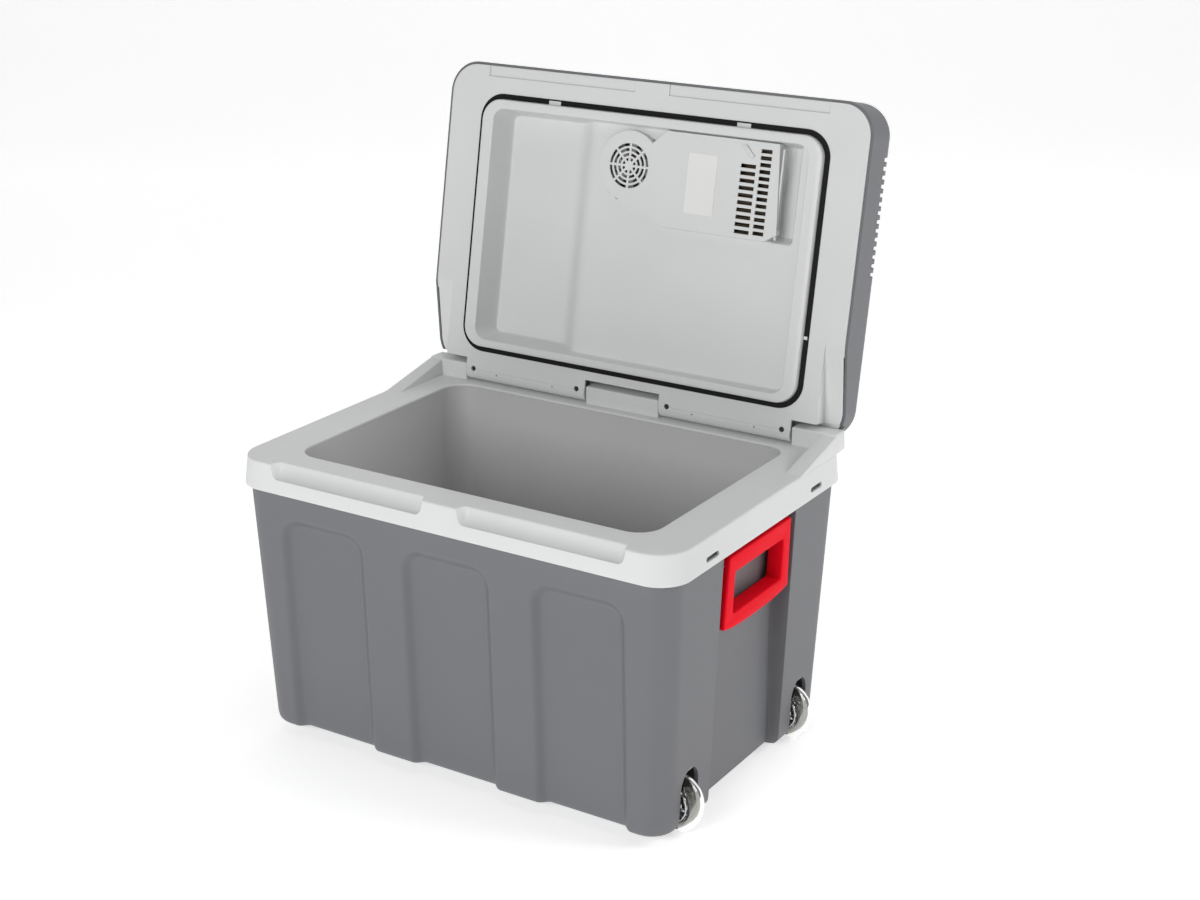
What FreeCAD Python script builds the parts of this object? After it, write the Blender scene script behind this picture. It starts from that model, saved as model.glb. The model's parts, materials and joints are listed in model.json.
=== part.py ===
import FreeCAD, Part
import math
import os
import Sketcher
from FreeCAD import Placement, Rotation, Vector

# A wheeled thermoelectric cool box with its lid open.
# Millimetres. +X points to the wheel end, +Y to the hinge side and +Z up.
# The origin is on the floor, under the middle of the body.
# The pieces of the lid are drawn closed, in a frame whose origin is on the hinge axis, and are
# then turned open about that axis. In that frame +Y points to the back and +Z away from the tub.

DIMENSIONS = [
    # body
    ("body_base", 15, "height of the underside above the floor"),
    ("body_top", 338, "height of the outer shell's upper edge"),
    ("body_half_length", 280.2, "half length at the underside"),
    ("body_half_width", 191.2, "half width at the underside"),
    ("body_corner", 30, "radius of the upright corners"),
    ("body_draft", 2.29, "draft of the body walls in degrees"),
    ("shell_wall", 3, "thickness of the outer shell"),
    ("panel_pitch", 176, "distance between the sunk panels of a long side"),
    ("panel_half_width", 50, "half width of the flat of a sunk panel"),
    ("panel_top", 286, "height of the top of the flat of a sunk panel"),
    ("panel_corner", 14, "radius of the corners of the flat of a sunk panel"),
    ("panel_depth", 9, "depth of a sunk panel"),
    ("panel_slope", 55, "slope of a sunk panel's sides in degrees"),
    ("bay_half_width", 86, "half width of a handle bay"),
    ("bay_floor", 266.5, "distance of the handle bay's back wall from the middle"),
    # collar and tub
    ("collar_base", 326.8, "height of the collar's lower edge"),
    ("collar_top", 362.6, "height of the collar's flat top"),
    ("collar_half_length", 300, "half length at the collar's lower edge"),
    ("collar_half_width", 210.9, "half width at the collar's lower edge"),
    ("collar_corner", 38, "radius of the collar's upright corners"),
    ("collar_draft", 4.5, "draft of the collar's sides in degrees"),
    ("collar_wall", 3, "thickness of the collar"),
    ("mouth_half_length", 242.4, "half length of the mouth of the tub"),
    ("mouth_half_width", 164.2, "half width of the mouth of the tub"),
    ("mouth_corner", 30, "radius of the mouth's corners"),
    ("tub_floor", 95, "height of the tub's floor"),
    ("tub_draft", 1.2, "draft of the tub's walls in degrees"),
    ("tub_wall", 2.5, "thickness of the tub"),
    ("grip_near", 24, "distance of a finger scoop's inner end from the middle"),
    ("grip_far", 240, "distance of a finger scoop's outer end from the middle"),
    ("grip_sill", 343, "height of a finger scoop's lower edge"),
    ("grip_depth", 12, "depth of a finger scoop"),
    ("ramp_inner", 276.5, "distance of a collar ramp's inner side from the middle"),
    ("ramp_start", 85, "front end of a collar ramp"),
    ("ramp_rise", 20, "rise of a collar ramp"),
    ("ear_inner", 237.5, "distance of a hinge ear's inner side from the middle"),
    ("ear_front", 178, "front face of the hinge ears"),
    ("ear_back", 203, "back face of the hinge ears"),
    ("ear_top", 385, "height of the hinge ears"),
    ("block_half_length", 53, "half length of the middle hinge block"),
    # hinge
    ("hinge_back", 188.3, "distance of the hinge axis behind the middle"),
    ("hinge_height", 375.7, "height of the hinge axis"),
    ("hinge_open", 100.2, "angle between the closed lid and the open lid in degrees"),
    ("barrel_radius", 12.5, "radius of a hinge barrel"),
    ("hinge_pin_radius", 3, "radius of a hinge pin"),
    ("screw_back", -2, "distance of the hinge screws behind the hinge axis"),
    ("pin_reach", 8, "length of a hinge pin that stands in the lid's barrel"),
    ("cover_inner", 54.5, "distance of a hinge barrel's inner end from the middle"),
    ("cover_outer", 236, "distance of a hinge barrel's outer end from the middle"),
    ("running_gap", 0.05, "radial clearance of every turning fit"),
    # lid, measured in the lid's own frame
    ("lid_half_length", 297, "half length of the lid's cover"),
    ("lid_front", 394.5, "distance of the cover's front from the hinge axis"),
    ("lid_rear", 8, "distance of the cover's back behind the hinge axis"),
    ("lid_corner", 40, "radius of the lid's upright corners"),
    ("lid_height", 68, "height of the cover above the rim plane"),
    ("lid_edge", 22, "radius of the cover's upper edge"),
    ("lid_draft", 1.5, "draft of the cover's sides in degrees"),
    ("lid_wall", 3, "thickness of the cover"),
    ("vent_rear", 193, "distance of the rearmost vent slot from the hinge axis"),
    ("vent_pitch", 10.4, "distance between the vent slots"),
    ("rim_half_length", 293.8, "half length of the light rim"),
    ("rim_front", 391.3, "distance of the light rim's front from the hinge axis"),
    ("rim_wall", 3, "thickness of the light rim"),
    ("scoop_rear", 378, "distance of the rim's two finger scoops from the hinge axis"),
    ("scoop_depth", 1.6, "depth of the rim's finger scoops"),
    ("pocket_front", 15.5, "distance of the rear pockets' front wall from the hinge axis"),
    ("pocket_depth", 32, "depth of the rear pockets above the rim plane"),
    ("ledge_inner", 268.7, "distance of a rim ramp's inner side from the middle"),
    ("ledge_start", 111.3, "distance of a rim ramp's front end from the hinge axis"),
    ("ledge_depth", 24, "depth of a rim ramp at its rear end"),
    ("seal_half_length", 246.8, "half length of the seal"),
    ("seal_front", 357.5, "distance of the seal's front from the hinge axis"),
    ("seal_rear", 26.7, "distance of the seal's back from the hinge axis"),
    ("seal_corner", 33, "radius of the seal's corners"),
    ("seal_width", 6.3, "width of the seal"),
    ("plug_height", 8, "height of the lid's plug below the rim plane"),
    ("tray_half_length", 223, "half length of the hollow in the lid"),
    ("tray_front", 339.5, "distance of the hollow's front wall from the hinge axis"),
    ("tray_rear", 43.5, "distance of the hollow's back wall from the hinge axis"),
    ("tray_corner", 16, "radius of the hollow's corners"),
    ("tray_draft", 10, "draft of the hollow's walls in degrees"),
    ("tray_depth", 31, "depth of the hollow's deep end above the rim plane"),
    ("shelf_depth", 6, "depth of the hollow's shallow end above the rim plane"),
    ("shelf_edge", -76, "place of the step between the two ends of the hollow"),
    # cooling unit in the lid
    ("fan_across", -20, "place of the fan along the lid"),
    ("fan_along", 288.6, "distance of the fan from the hinge axis"),
    ("fan_well", 41, "radius of the well round the inner fan"),
    ("duct_radius", 43, "radius of the duct's round end"),
    ("duct_front", 336.4, "distance of the duct's front edge from the hinge axis"),
    ("duct_rear", 220.2, "distance of the duct's back edge from the hinge axis"),
    ("duct_end", 182, "place of the duct's outlet end along the lid"),
    ("duct_wall", 2, "thickness of the duct cover"),
    ("duct_rise", 3, "height of the duct cover's face below the rim plane"),
    ("shaft_radius", 2.5, "radius of the fan shaft"),
    ("sink_across", 150, "middle of the heat sinks along the lid"),
    ("sink_along", 277, "distance of the heat sinks' middle from the hinge axis"),
    # wheels and feet
    ("wheel_radius", 38, "radius of a wheel"),
    ("wheel_width", 24, "width of a wheel"),
    ("wheel_across", 262, "distance of the axles from the middle"),
    ("wheel_along", 133.8, "distance of the wheels from the middle"),
    ("arch_half_width", 19.3, "half width of a wheel arch"),
    ("arch_radius", 42, "radius of a wheel arch"),
    ("axle_radius", 4, "radius of an axle"),
    ("foot_across", -236, "place of the feet along the body"),
    ("foot_along", 115, "distance of the feet from the middle"),
    # handles
    ("handle_pivot_out", 283.5, "distance of a handle's pivot axis from the middle"),
    ("handle_pivot_height", 305.5, "height of a handle's pivot axis"),
    ("handle_top", 317, "height of a handle's upper edge"),
    ("handle_base", 230, "height of a handle's lower corners"),
    ("handle_half_top", 73.5, "half width of a handle at its upper edge"),
    ("handle_half_base", 77.2, "half width of a handle at its lower corners"),
    ("handle_bow", 6, "bow of a handle's lower edge"),
    ("handle_back", 273.5, "distance of a handle's back from the middle"),
    ("handle_face", 293.6, "distance of a handle's face from the middle"),
    ("finger_half_width", 58, "half width of a handle's opening"),
    ("finger_base", 244, "height of the lower edge of a handle's opening"),
    ("finger_top", 295, "height of the upper edge of a handle's opening"),
    ("handle_pin_radius", 3, "radius of a handle's pivot pin"),
]

doc = FreeCAD.newDocument("cool_box")
dims = doc.addObject("Spreadsheet::Sheet", "dims")
for row, (alias, size, meaning) in enumerate(DIMENSIONS, start=1):
    dims.set(f"A{row}", alias)
    dims.set(f"B{row}", str(size))
    dims.set(f"C{row}", meaning)
    dims.setAlias(f"B{row}", alias)
doc.recompute()

PARTS = []


def value(text):
    """The number that an expression on the sheet gives."""
    number = dims.evalExpression(str(text))
    return float(getattr(number, "Value", number))


def keep(piece, label):
    """Name a piece and put it on the list of those that are written."""
    piece.Label = label
    PARTS.append(piece)
    return piece


def plane_of(body, role):
    return next(item for item in body.Origin.OriginFeatures if item.Role == role)


def new_sketch(body, name, role, offset):
    """A sketch on one of its body's origin planes, moved along the plane's normal."""
    sketch = body.newObject("Sketcher::SketchObject", name)
    sketch.AttachmentSupport = [(plane_of(body, role), "")]
    sketch.MapMode = "FlatFace"
    sketch.setExpression("AttachmentOffset.Base.z", str(offset))
    return sketch


def fix_point(sketch, edge, end, across, along):
    """Hold one end of an edge at a place given by two expressions."""
    for kind, text in (("DistanceX", across), ("DistanceY", along)):
        number = value(text)
        index = sketch.addConstraint(Sketcher.Constraint(kind, -1, 1, edge, end, number))
        if "dims" in str(text):
            sketch.setExpression(f"Constraints[{index}]", text)


def draw_polygon(sketch, points):
    """A closed outline through points given as pairs of expressions."""
    corners = [Vector(value(across), value(along), 0) for across, along in points]
    count = len(corners)
    for index, corner in enumerate(corners):
        sketch.addGeometry(Part.LineSegment(corner, corners[(index + 1) % count]))
    for index in range(count):
        sketch.addConstraint(
            Sketcher.Constraint("Coincident", index, 2, (index + 1) % count, 1)
        )
    for index, (across, along) in enumerate(points):
        fix_point(sketch, index, 1, across, along)


def draw_rounded(sketch, left, right, front, back, radius):
    """A rounded rectangle between four sides given as expressions."""
    x0, x1, y0, y1, r = (value(text) for text in (left, right, front, back, radius))
    corners = [(x1 - r, y0 + r, -90), (x1 - r, y1 - r, 0), (x0 + r, y1 - r, 90), (x0 + r, y0 + r, 180)]
    for x, y, start in corners:
        circle = Part.Circle(Vector(x, y, 0), Vector(0, 0, 1), r)
        arc = Part.ArcOfCircle(circle, math.radians(start), math.radians(start + 90))
        sketch.addGeometry(arc)
    lines = [
        ((x1, y0 + r), (x1, y1 - r)),
        ((x1 - r, y1), (x0 + r, y1)),
        ((x0, y1 - r), (x0, y0 + r)),
        ((x0 + r, y0), (x1 - r, y0)),
    ]
    for start, end in lines:
        sketch.addGeometry(Part.LineSegment(Vector(*start, 0), Vector(*end, 0)))
    for corner in range(4):
        line = 4 + corner
        sketch.addConstraint(Sketcher.Constraint("Tangent", corner, 2, line, 1))
        sketch.addConstraint(Sketcher.Constraint("Tangent", line, 2, (corner + 1) % 4, 1))
    for line in (4, 6):
        sketch.addConstraint(Sketcher.Constraint("Vertical", line))
    for line in (5, 7):
        sketch.addConstraint(Sketcher.Constraint("Horizontal", line))
    for corner in (1, 2, 3):
        sketch.addConstraint(Sketcher.Constraint("Equal", 0, corner))
    bound = [
        ("Radius", (0,), radius),
        ("DistanceX", (-1, 1, 4, 1), right),
        ("DistanceX", (-1, 1, 6, 1), left),
        ("DistanceY", (-1, 1, 5, 1), back),
        ("DistanceY", (-1, 1, 7, 1), front),
    ]
    for kind, where, text in bound:
        index = sketch.addConstraint(Sketcher.Constraint(kind, *where, value(text)))
        sketch.setExpression(f"Constraints[{index}]", str(text))


def pad(body, sketch, length, draft=0, both_ways=False):
    feature = body.newObject("PartDesign::Pad", f"{sketch.Name}_pad")
    feature.Profile = sketch
    feature.setExpression("Length", str(length))
    feature.Midplane = both_ways
    if draft:
        feature.setExpression("TaperAngle", str(draft))
    sketch.Visibility = False
    return feature


def rounded_block(name, sides, radius, base, height, draft=0):
    """A body with a rounded rectangular outline. A positive draft widens it upwards."""
    body = doc.addObject("PartDesign::Body", name)
    sketch = new_sketch(body, f"{name}_outline", "XY_Plane", base)
    draw_rounded(sketch, *sides, radius)
    pad(body, sketch, height, draft)
    return body


def prism(name, role, points, offset, length, both_ways=False):
    """A body made by padding a polygon that lies on an origin plane."""
    body = doc.addObject("PartDesign::Body", name)
    sketch = new_sketch(body, f"{name}_outline", role, offset)
    draw_polygon(sketch, points)
    pad(body, sketch, length, both_ways=both_ways)
    return body


def box(name, low, high):
    """A Part box between two corners given as expressions."""
    piece = doc.addObject("Part::Box", name)
    for size, axis, start, end in zip(("Length", "Width", "Height"), "xyz", low, high):
        piece.setExpression(size, f"({end}) - ({start})")
        piece.setExpression(f"Placement.Base.{axis}", str(start))
    return piece


TURN_TO = {
    "x": Rotation(Vector(0, 1, 0), 90),
    "y": Rotation(Vector(1, 0, 0), -90),
    "z": Rotation(),
}


def cylinder(name, radius, length, start, axis="z"):
    """A Part cylinder that starts at a point and runs along +X, +Y or +Z."""
    piece = doc.addObject("Part::Cylinder", name)
    piece.setExpression("Radius", str(radius))
    piece.setExpression("Height", str(length))
    piece.Placement = Placement(Vector(), TURN_TO[axis])
    for letter, text in zip("xyz", start):
        piece.setExpression(f"Placement.Base.{letter}", str(text))
    return piece


def fuse(name, pieces):
    union = doc.addObject("Part::MultiFuse", name)
    union.Shapes = pieces
    union.Refine = True
    return union


def common(name, pieces):
    shared = doc.addObject("Part::MultiCommon", name)
    shared.Shapes = pieces
    return shared


def cut(name, base, tools):
    """A Part cut of one or several tools out of a base."""
    tool = tools[0] if len(tools) == 1 else fuse(f"{name}_tools", tools)
    result = doc.addObject("Part::Cut", name)
    result.Base = base
    result.Tool = tool
    result.Refine = True
    return result


def tube(name, outer, inner, length, start, axis="z"):
    return cut(
        name,
        cylinder(f"{name}_outer", outer, length, start, axis),
        [cylinder(f"{name}_bore", inner, length, start, axis)],
    )


def open_lid(piece):
    """Turn a piece of the lid from the lid's frame to its place on the open lid."""
    turn = Rotation(Vector(1, 0, 0), -value("dims.hinge_open"))
    hinge = Vector(0, value("dims.hinge_back"), value("dims.hinge_height"))
    piece.Placement = Placement(hinge, turn)
    return piece


def keep_lid(piece, label):
    """Turn a piece of the lid open and put it on the list."""
    if piece.TypeId in ("Part::Box", "Part::Cylinder"):
        holder = doc.addObject("Part::Compound", f"{label}_holder")
        holder.Links = [piece]
        piece = holder
    return keep(open_lid(piece), label)


# ---------------------------------------------------------------- body


def drafted_body(name, gap):
    """The body's outer form, made smaller all round by a gap."""
    half_x = f"(dims.body_half_length - {gap})"
    half_y = f"(dims.body_half_width - {gap})"
    sides = (f"-{half_x}", half_x, f"-{half_y}", half_y)
    height = f"dims.body_top - dims.body_base - {gap}"
    corner = f"dims.body_corner - {gap}"
    return rounded_block(name, sides, corner, f"dims.body_base + {gap}", height, "dims.body_draft")


def sunk_panel(name, index, side, gap):
    """The hollow of one sunk panel, made larger all round by a gap."""
    body = doc.addObject("PartDesign::Body", name)
    sketch = new_sketch(body, f"{name}_outline", "XZ_Plane", 0)
    half = f"dims.panel_half_width + {gap}"
    sides = (f"-({half})", half, "-60", f"dims.panel_top + {gap}")
    draw_rounded(sketch, *sides, f"dims.panel_corner + {gap}")
    pad(body, sketch, 30, "dims.panel_slope")
    floor = value(f"dims.body_half_width - dims.panel_depth - {gap}")
    lean = Rotation(Vector(1, 0, 0), value("dims.body_draft"))
    turn = Rotation() if side < 0 else Rotation(Vector(0, 0, 1), 180)
    centre = Vector(index * value("dims.panel_pitch"), side * floor, value("dims.body_base"))
    lowered = Placement(Vector(0, 0, -value("dims.body_base")), Rotation())
    body.Placement = Placement(centre, turn.multiply(lean)).multiply(lowered)
    return body


def handle_bay(name, side, gap):
    """The hollow of one handle bay, made larger all round by a gap."""
    half = f"dims.bay_half_width + {gap}"
    floor = f"dims.bay_floor - {gap}"
    low, high = (floor, "340") if side > 0 else ("-340", f"-({floor})")
    return box(name, (low, f"-({half})", "0"), (high, half, "400"))


def wheel_well(name, side, gap):
    """The hollow over one wheel, made larger all round by a gap."""
    middle = f"({side} * dims.wheel_along)"
    half = f"(dims.arch_half_width + {gap})"
    radius = f"(dims.arch_radius + {gap})"
    start, end = f"{middle} - {half}", f"{middle} + {half}"
    axle = ("dims.wheel_across", start, "dims.wheel_radius")
    round_top = cylinder(f"{name}_top", radius, f"2 * {half}", axle, "y")
    left = f"dims.wheel_across - {radius}"
    right = f"dims.wheel_across + {radius}"
    under = box(f"{name}_under", (left, start, "0"), (right, end, "dims.wheel_radius"))
    limit = box(f"{name}_limit", (left, start, "0"), (f"278 + {gap}", end, "100"))
    return common(name, [fuse(f"{name}_form", [round_top, under]), limit])


def wheel_window(name, side):
    """The opening in the end wall through which one wheel stands out."""
    middle = f"({side} * dims.wheel_along)"
    spring = "dims.arch_radius + 13"
    low = ("dims.wheel_across", f"{middle} - dims.arch_half_width", "0")
    high = ("310", f"{middle} + dims.arch_half_width", spring)
    start = ("dims.wheel_across", middle, spring)
    reach = "310 - dims.wheel_across"
    crown = cylinder(f"{name}_crown", "dims.arch_half_width", reach, start, "x")
    return fuse(name, [box(f"{name}_lower", low, high), crown])


def hollows(name, gap):
    """Every hollow in the body's outer form, made larger by a gap."""
    pieces = []
    for side in (-1, 1):
        face = "front" if side < 0 else "back"
        end = "left" if side < 0 else "right"
        for index in (-1, 0, 1):
            pieces.append(sunk_panel(f"{name}_panel_{face}_{index + 2}", index, side, gap))
        pieces.append(handle_bay(f"{name}_bay_{end}", side, gap))
        pieces.append(wheel_well(f"{name}_well_{face}", side, gap))
    return pieces


def tub_block(name, gap, base, height):
    """The tub's inner form, made larger by a gap."""
    fall = f"(dims.collar_top - dims.collar_wall - ({base})) * tan(dims.tub_draft)"
    half_x = f"(dims.mouth_half_length + {gap} - {fall})"
    half_y = f"(dims.mouth_half_width + {gap} - {fall})"
    sides = (f"-{half_x}", half_x, f"-{half_y}", half_y)
    corner = f"dims.mouth_corner + {gap} - {fall}"
    return rounded_block(name, sides, corner, base, height, "dims.tub_draft")


def make_body():
    """The outer shell, its foam and the tub."""
    core = cut("foam_core", drafted_body("core_form", "dims.shell_wall"), hollows("core", "3"))
    windows = [wheel_window(f"window_{side}", side) for side in (-1, 1)]
    shell_tools = [core, *hollows("shell", "0"), *windows]
    keep(cut("shell", drafted_body("shell_form", "0"), shell_tools), "outer_shell")

    collar_fill = rounded_block(
        "collar_fill", ("-284", "284", "-188", "188"), "28", "dims.body_top", "18"
    )
    tub_reach = "dims.collar_top - dims.collar_wall - dims.tub_floor"
    tub_outer = tub_block(
        "tub_outer", "dims.tub_wall", "dims.tub_floor - dims.tub_wall", f"{tub_reach} + dims.tub_wall"
    )
    foam = fuse("foam_form", [core, collar_fill])
    keep(cut("foam", foam, [tub_outer]), "body_insulation")

    flange_sides = ("-256", "256", "-177", "177")
    flange = rounded_block("tub_flange", flange_sides, "43", "dims.body_top + 18", "2.5")
    tub_hollow = tub_block("tub_hollow", "0", "dims.tub_floor", f"{tub_reach} + 1")
    keep(cut("tub", fuse("tub_form", [tub_outer, flange]), [tub_hollow]), "inner_liner")


def collar_block(name, gap, base, top):
    """The collar's outer form between two heights, made smaller by a gap."""
    lean = f"(({base}) - dims.collar_base) * tan(dims.collar_draft)"
    half_x = f"(dims.collar_half_length - {gap} - {lean})"
    half_y = f"(dims.collar_half_width - {gap} - {lean})"
    sides = (f"-{half_x}", half_x, f"-{half_y}", half_y)
    corner = f"dims.collar_corner - {gap}"
    return rounded_block(name, sides, corner, base, f"({top}) - ({base})", "-dims.collar_draft")


def finger_scoop(name, side, gap):
    """The hollow of one finger scoop, made larger by a gap."""
    near, far = f"dims.grip_near - {gap}", f"dims.grip_far + {gap}"
    left, right = (near, far) if side > 0 else (f"-({far})", f"-({near})")
    back = f"dims.grip_depth + {gap} - dims.collar_half_width + 2.8"
    low = (left, "-dims.collar_half_width - 5", f"dims.grip_sill - {gap}")
    return box(name, low, (right, back, "dims.collar_top + 5"))


def collar_ramp(name, side):
    """The rise along one side of the collar towards the hinge."""
    level = "dims.collar_top"
    points = [
        ("dims.ramp_start", f"{level} - 3"),
        ("dims.ear_front + 1", f"{level} - 3"),
        ("dims.ear_front + 1", f"{level} + dims.ramp_rise"),
        ("dims.ramp_start", level),
    ]
    offset = "dims.ramp_inner" if side > 0 else "-dims.collar_half_length"
    length = "dims.collar_half_length - dims.ramp_inner"
    return prism(name, "YZ_Plane", points, offset, length)


def hinge_ear(name, side):
    low = ("dims.ear_inner", "dims.ear_front", "dims.collar_top - 3")
    high = ("dims.collar_half_length", "dims.ear_back", "dims.ear_top")
    if side < 0:
        low, high = (f"-({high[0]})", *low[1:]), (f"-({low[0]})", *high[1:])
    return box(name, low, high)


HINGE = ("dims.hinge_back", "dims.hinge_height")


def hinge_pins(name, side, gap, axis):
    """The two stub pins of one hinge, or their bores, made larger by a gap."""
    spans = (
        ("dims.block_half_length - 8", "dims.block_half_length + dims.pin_reach"),
        ("dims.ear_inner - dims.pin_reach", "dims.ear_inner + 16"),
    )
    pieces = []
    for index, (near, far) in enumerate(spans, start=1):
        start = f"({near})" if side > 0 else f"-({far})"
        place = (start, *axis)
        radius = f"dims.hinge_pin_radius + {gap}"
        pieces.append(cylinder(f"{name}_{index}", radius, f"({far}) - ({near})", place, "x"))
    return pieces


def collar_slot(name, end, side):
    """One of the slots in the ends of the collar."""
    low_x, high_x = ("290", "305") if end > 0 else ("-305", "-290")
    middle = f"{side} * 124"
    return box(name, (low_x, f"{middle} - 14", "335"), (high_x, f"{middle} + 14", "341"))


def make_collar():
    raised = [collar_ramp("ramp_left", -1), collar_ramp("ramp_right", 1)]
    raised += [hinge_ear("ear_left", -1), hinge_ear("ear_right", 1)]
    half = "dims.block_half_length"
    block_low = (f"-{half}", "dims.ear_front", "dims.collar_top - 3")
    raised.append(box("hinge_block", block_low, (half, "dims.ear_back", "dims.ear_top")))
    tall = collar_block("collar_tall", "0", "dims.collar_base", "dims.ear_top + 10")
    level = collar_block("collar_level", "0", "dims.collar_base", "dims.collar_top")
    form = fuse("collar_form", [level, common("collar_raised", [tall, fuse("raised", raised)])])

    under = collar_block("collar_under", "dims.collar_wall", "dims.collar_base", "dims.collar_top - 3")
    walls = [finger_scoop(f"scoop_wall_{side}", side, "3") for side in (-1, 1)]
    mouth_sides = (
        "-dims.mouth_half_length", "dims.mouth_half_length",
        "-dims.mouth_half_width", "dims.mouth_half_width",
    )
    mouth = rounded_block("collar_mouth", mouth_sides, "dims.mouth_corner", "dims.collar_base", "60")
    tools = [cut("collar_hollow", under, walls), mouth]
    tools += [finger_scoop(f"scoop_{side}", side, "0") for side in (-1, 1)]
    for end in (-1, 1):
        for side in (-1, 1):
            tools.append(collar_slot(f"slot_{end}_{side}", end, side))
    for side in (-1, 1):
        tools += hinge_pins(f"pin_bore_{side}", side, "0", HINGE)
    keep(cut("collar", form, tools), "collar")

    for end, side in (("left", -1), ("right", 1)):
        pins = doc.addObject("Part::Compound", f"hinge_pins_{end}")
        pins.Links = hinge_pins(f"pin_{end}", side, "0", HINGE)
        keep(pins, f"hinge_pins_{end}")


# ---------------------------------------------------------------- wheels and feet


def soften(name, piece, radius):
    """Round the two circular edges of a cylinder."""
    doc.recompute()
    rounded = doc.addObject("Part::Fillet", name)
    rounded.Base = piece
    edges = [i for i, e in enumerate(piece.Shape.Edges, start=1) if isinstance(e.Curve, Part.Circle)]
    rounded.Edges = [(index, radius, radius) for index in edges]
    return rounded


def make_wheel(end, side):
    """One wheel with its bearings, axle and housing."""
    middle = f"({side} * dims.wheel_along)"
    half = "dims.wheel_width / 2"

    def at(offset):
        return ("dims.wheel_across", f"{middle} + ({offset})", "dims.wheel_radius")

    width = "dims.wheel_width"
    blank = cylinder(f"tyre_blank_{end}", "dims.wheel_radius", width, at(f"-{half}"), "y")
    bore = cylinder(f"tyre_bore_{end}", 24.5, "dims.wheel_width", at(f"-{half}"), "y")
    keep(cut(f"tyre_{end}", soften(f"tyre_round_{end}", blank, 9), [bore]), f"wheel_tyre_{end}")

    rim = tube(f"hub_rim_{end}", 24.5, 11, "dims.wheel_width", at(f"-{half}"), "y")
    web = tube(f"hub_web_{end}", 11, 6, 10, at("-5"), "y")
    keep(fuse(f"hub_{end}", [rim, web]), f"wheel_hub_{end}")

    bore_radius = "dims.axle_radius + dims.running_gap"
    bearings = [
        tube(f"bearing_{end}_{start}", 11, bore_radius, 7, at(start), "y")
        for start in ("-12", "5")
    ]
    pair = doc.addObject("Part::Compound", f"bearings_{end}")
    pair.Links = bearings
    keep(pair, f"wheel_bearings_{end}")

    length = "2 * dims.arch_half_width"
    axle = cylinder(f"axle_{end}", "dims.axle_radius", length, at("-dims.arch_half_width"), "y")
    keep(axle, f"axle_{end}")

    lining = wheel_well(f"lining_{end}", side, "0")
    hollow = wheel_well(f"lining_hollow_{end}", side, "-2.5")
    mouth_low = ("dims.wheel_across", f"{middle} - 16.8", "0")
    mouth = box(f"lining_mouth_{end}", mouth_low, ("300", f"{middle} + 16.8", "90"))
    below_low = ("200", f"{middle} - 30", "-1")
    below = box(f"lining_below_{end}", below_low, ("300", f"{middle} + 30", "dims.body_base"))
    bore = cylinder(f"lining_bore_{end}", "dims.axle_radius", length, at("-dims.arch_half_width"), "y")
    keep(cut(f"housing_{end}", lining, [hollow, mouth, below, bore]), f"wheel_housing_{end}")


def make_foot(end, side):
    middle = f"{side} * dims.foot_along"
    sides = (
        "dims.foot_across - 16", "dims.foot_across + 16", f"{middle} - 28", f"{middle} + 28"
    )
    keep(rounded_block(f"foot_{end}", sides, 8, 0, "dims.body_base", 6), f"foot_{end}")


# ---------------------------------------------------------------- handles


def make_handle(end, side):
    """One carrying handle with its two pivot pins."""
    half_top, half_base = "dims.handle_half_top", "dims.handle_half_base"
    low = "dims.handle_base - dims.handle_bow"
    outline = [
        (f"-{half_top}", "dims.handle_top"),
        (f"-{half_base}", "dims.handle_base"),
        (f"-{half_base} / 2", low),
        (f"{half_base} / 2", low),
        (half_base, "dims.handle_base"),
        (half_top, "dims.handle_top"),
    ]
    thickness = "dims.handle_face - dims.handle_back"
    offset = "dims.handle_back" if side > 0 else "-dims.handle_face"
    form = prism(f"handle_form_{end}", "YZ_Plane", outline, offset, thickness)
    left, right = ("-300", "-260") if side < 0 else ("260", "300")
    half = "dims.finger_half_width"
    gap = box(
        f"finger_gap_{end}", (left, f"-{half}", "dims.finger_base"), (right, half, "dims.finger_top")
    )
    pivot_x = f"{side} * dims.handle_pivot_out"
    start = (pivot_x, "-dims.bay_half_width", "dims.handle_pivot_height")
    radius = "dims.handle_pin_radius"
    bore = cylinder(
        f"pivot_bore_{end}", f"{radius} + dims.running_gap", "2 * dims.bay_half_width", start, "y"
    )
    keep(cut(f"handle_{end}", form, [gap, bore]), f"handle_{end}")

    inner = "dims.finger_half_width + 4"
    reach = f"dims.bay_half_width - ({inner})"
    near = cylinder(f"pin_front_{end}", radius, reach, start, "y")
    far = cylinder(f"pin_back_{end}", radius, reach, (pivot_x, inner, start[2]), "y")
    pins = doc.addObject("Part::Compound", f"pins_{end}")
    pins.Links = [near, far]
    keep(pins, f"handle_pins_{end}")


# ---------------------------------------------------------------- lid
# Heights on the lid are measured from the rim plane, away from the tub.


def up(height):
    """A height above the rim plane, in the lid's frame."""
    return f"{height} - dims.barrel_radius"


def lid_box(name, across, along, heights):
    """A box on the lid: two places across it, two distances from the hinge and two heights."""
    near, far = along
    low = (across[0], f"-({far})", up(heights[0]))
    return box(name, low, (across[1], f"-({near})", up(heights[1])))


def lid_disc(name, radius, heights):
    """A disc round the fan's axis between two heights."""
    low, high = heights
    start = ("dims.fan_across", "-dims.fan_along", up(low))
    return cylinder(name, radius, f"({high}) - ({low})", start)


def lid_block(name, half, front, rear, corner, heights, draft=0):
    """A rounded block on the lid. A positive draft widens it away from the tub."""
    low, high = heights
    sides = (f"-({half})", half, f"-({front})", f"-({rear})")
    return rounded_block(name, sides, corner, up(low), f"({high}) - ({low})", draft)


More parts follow.
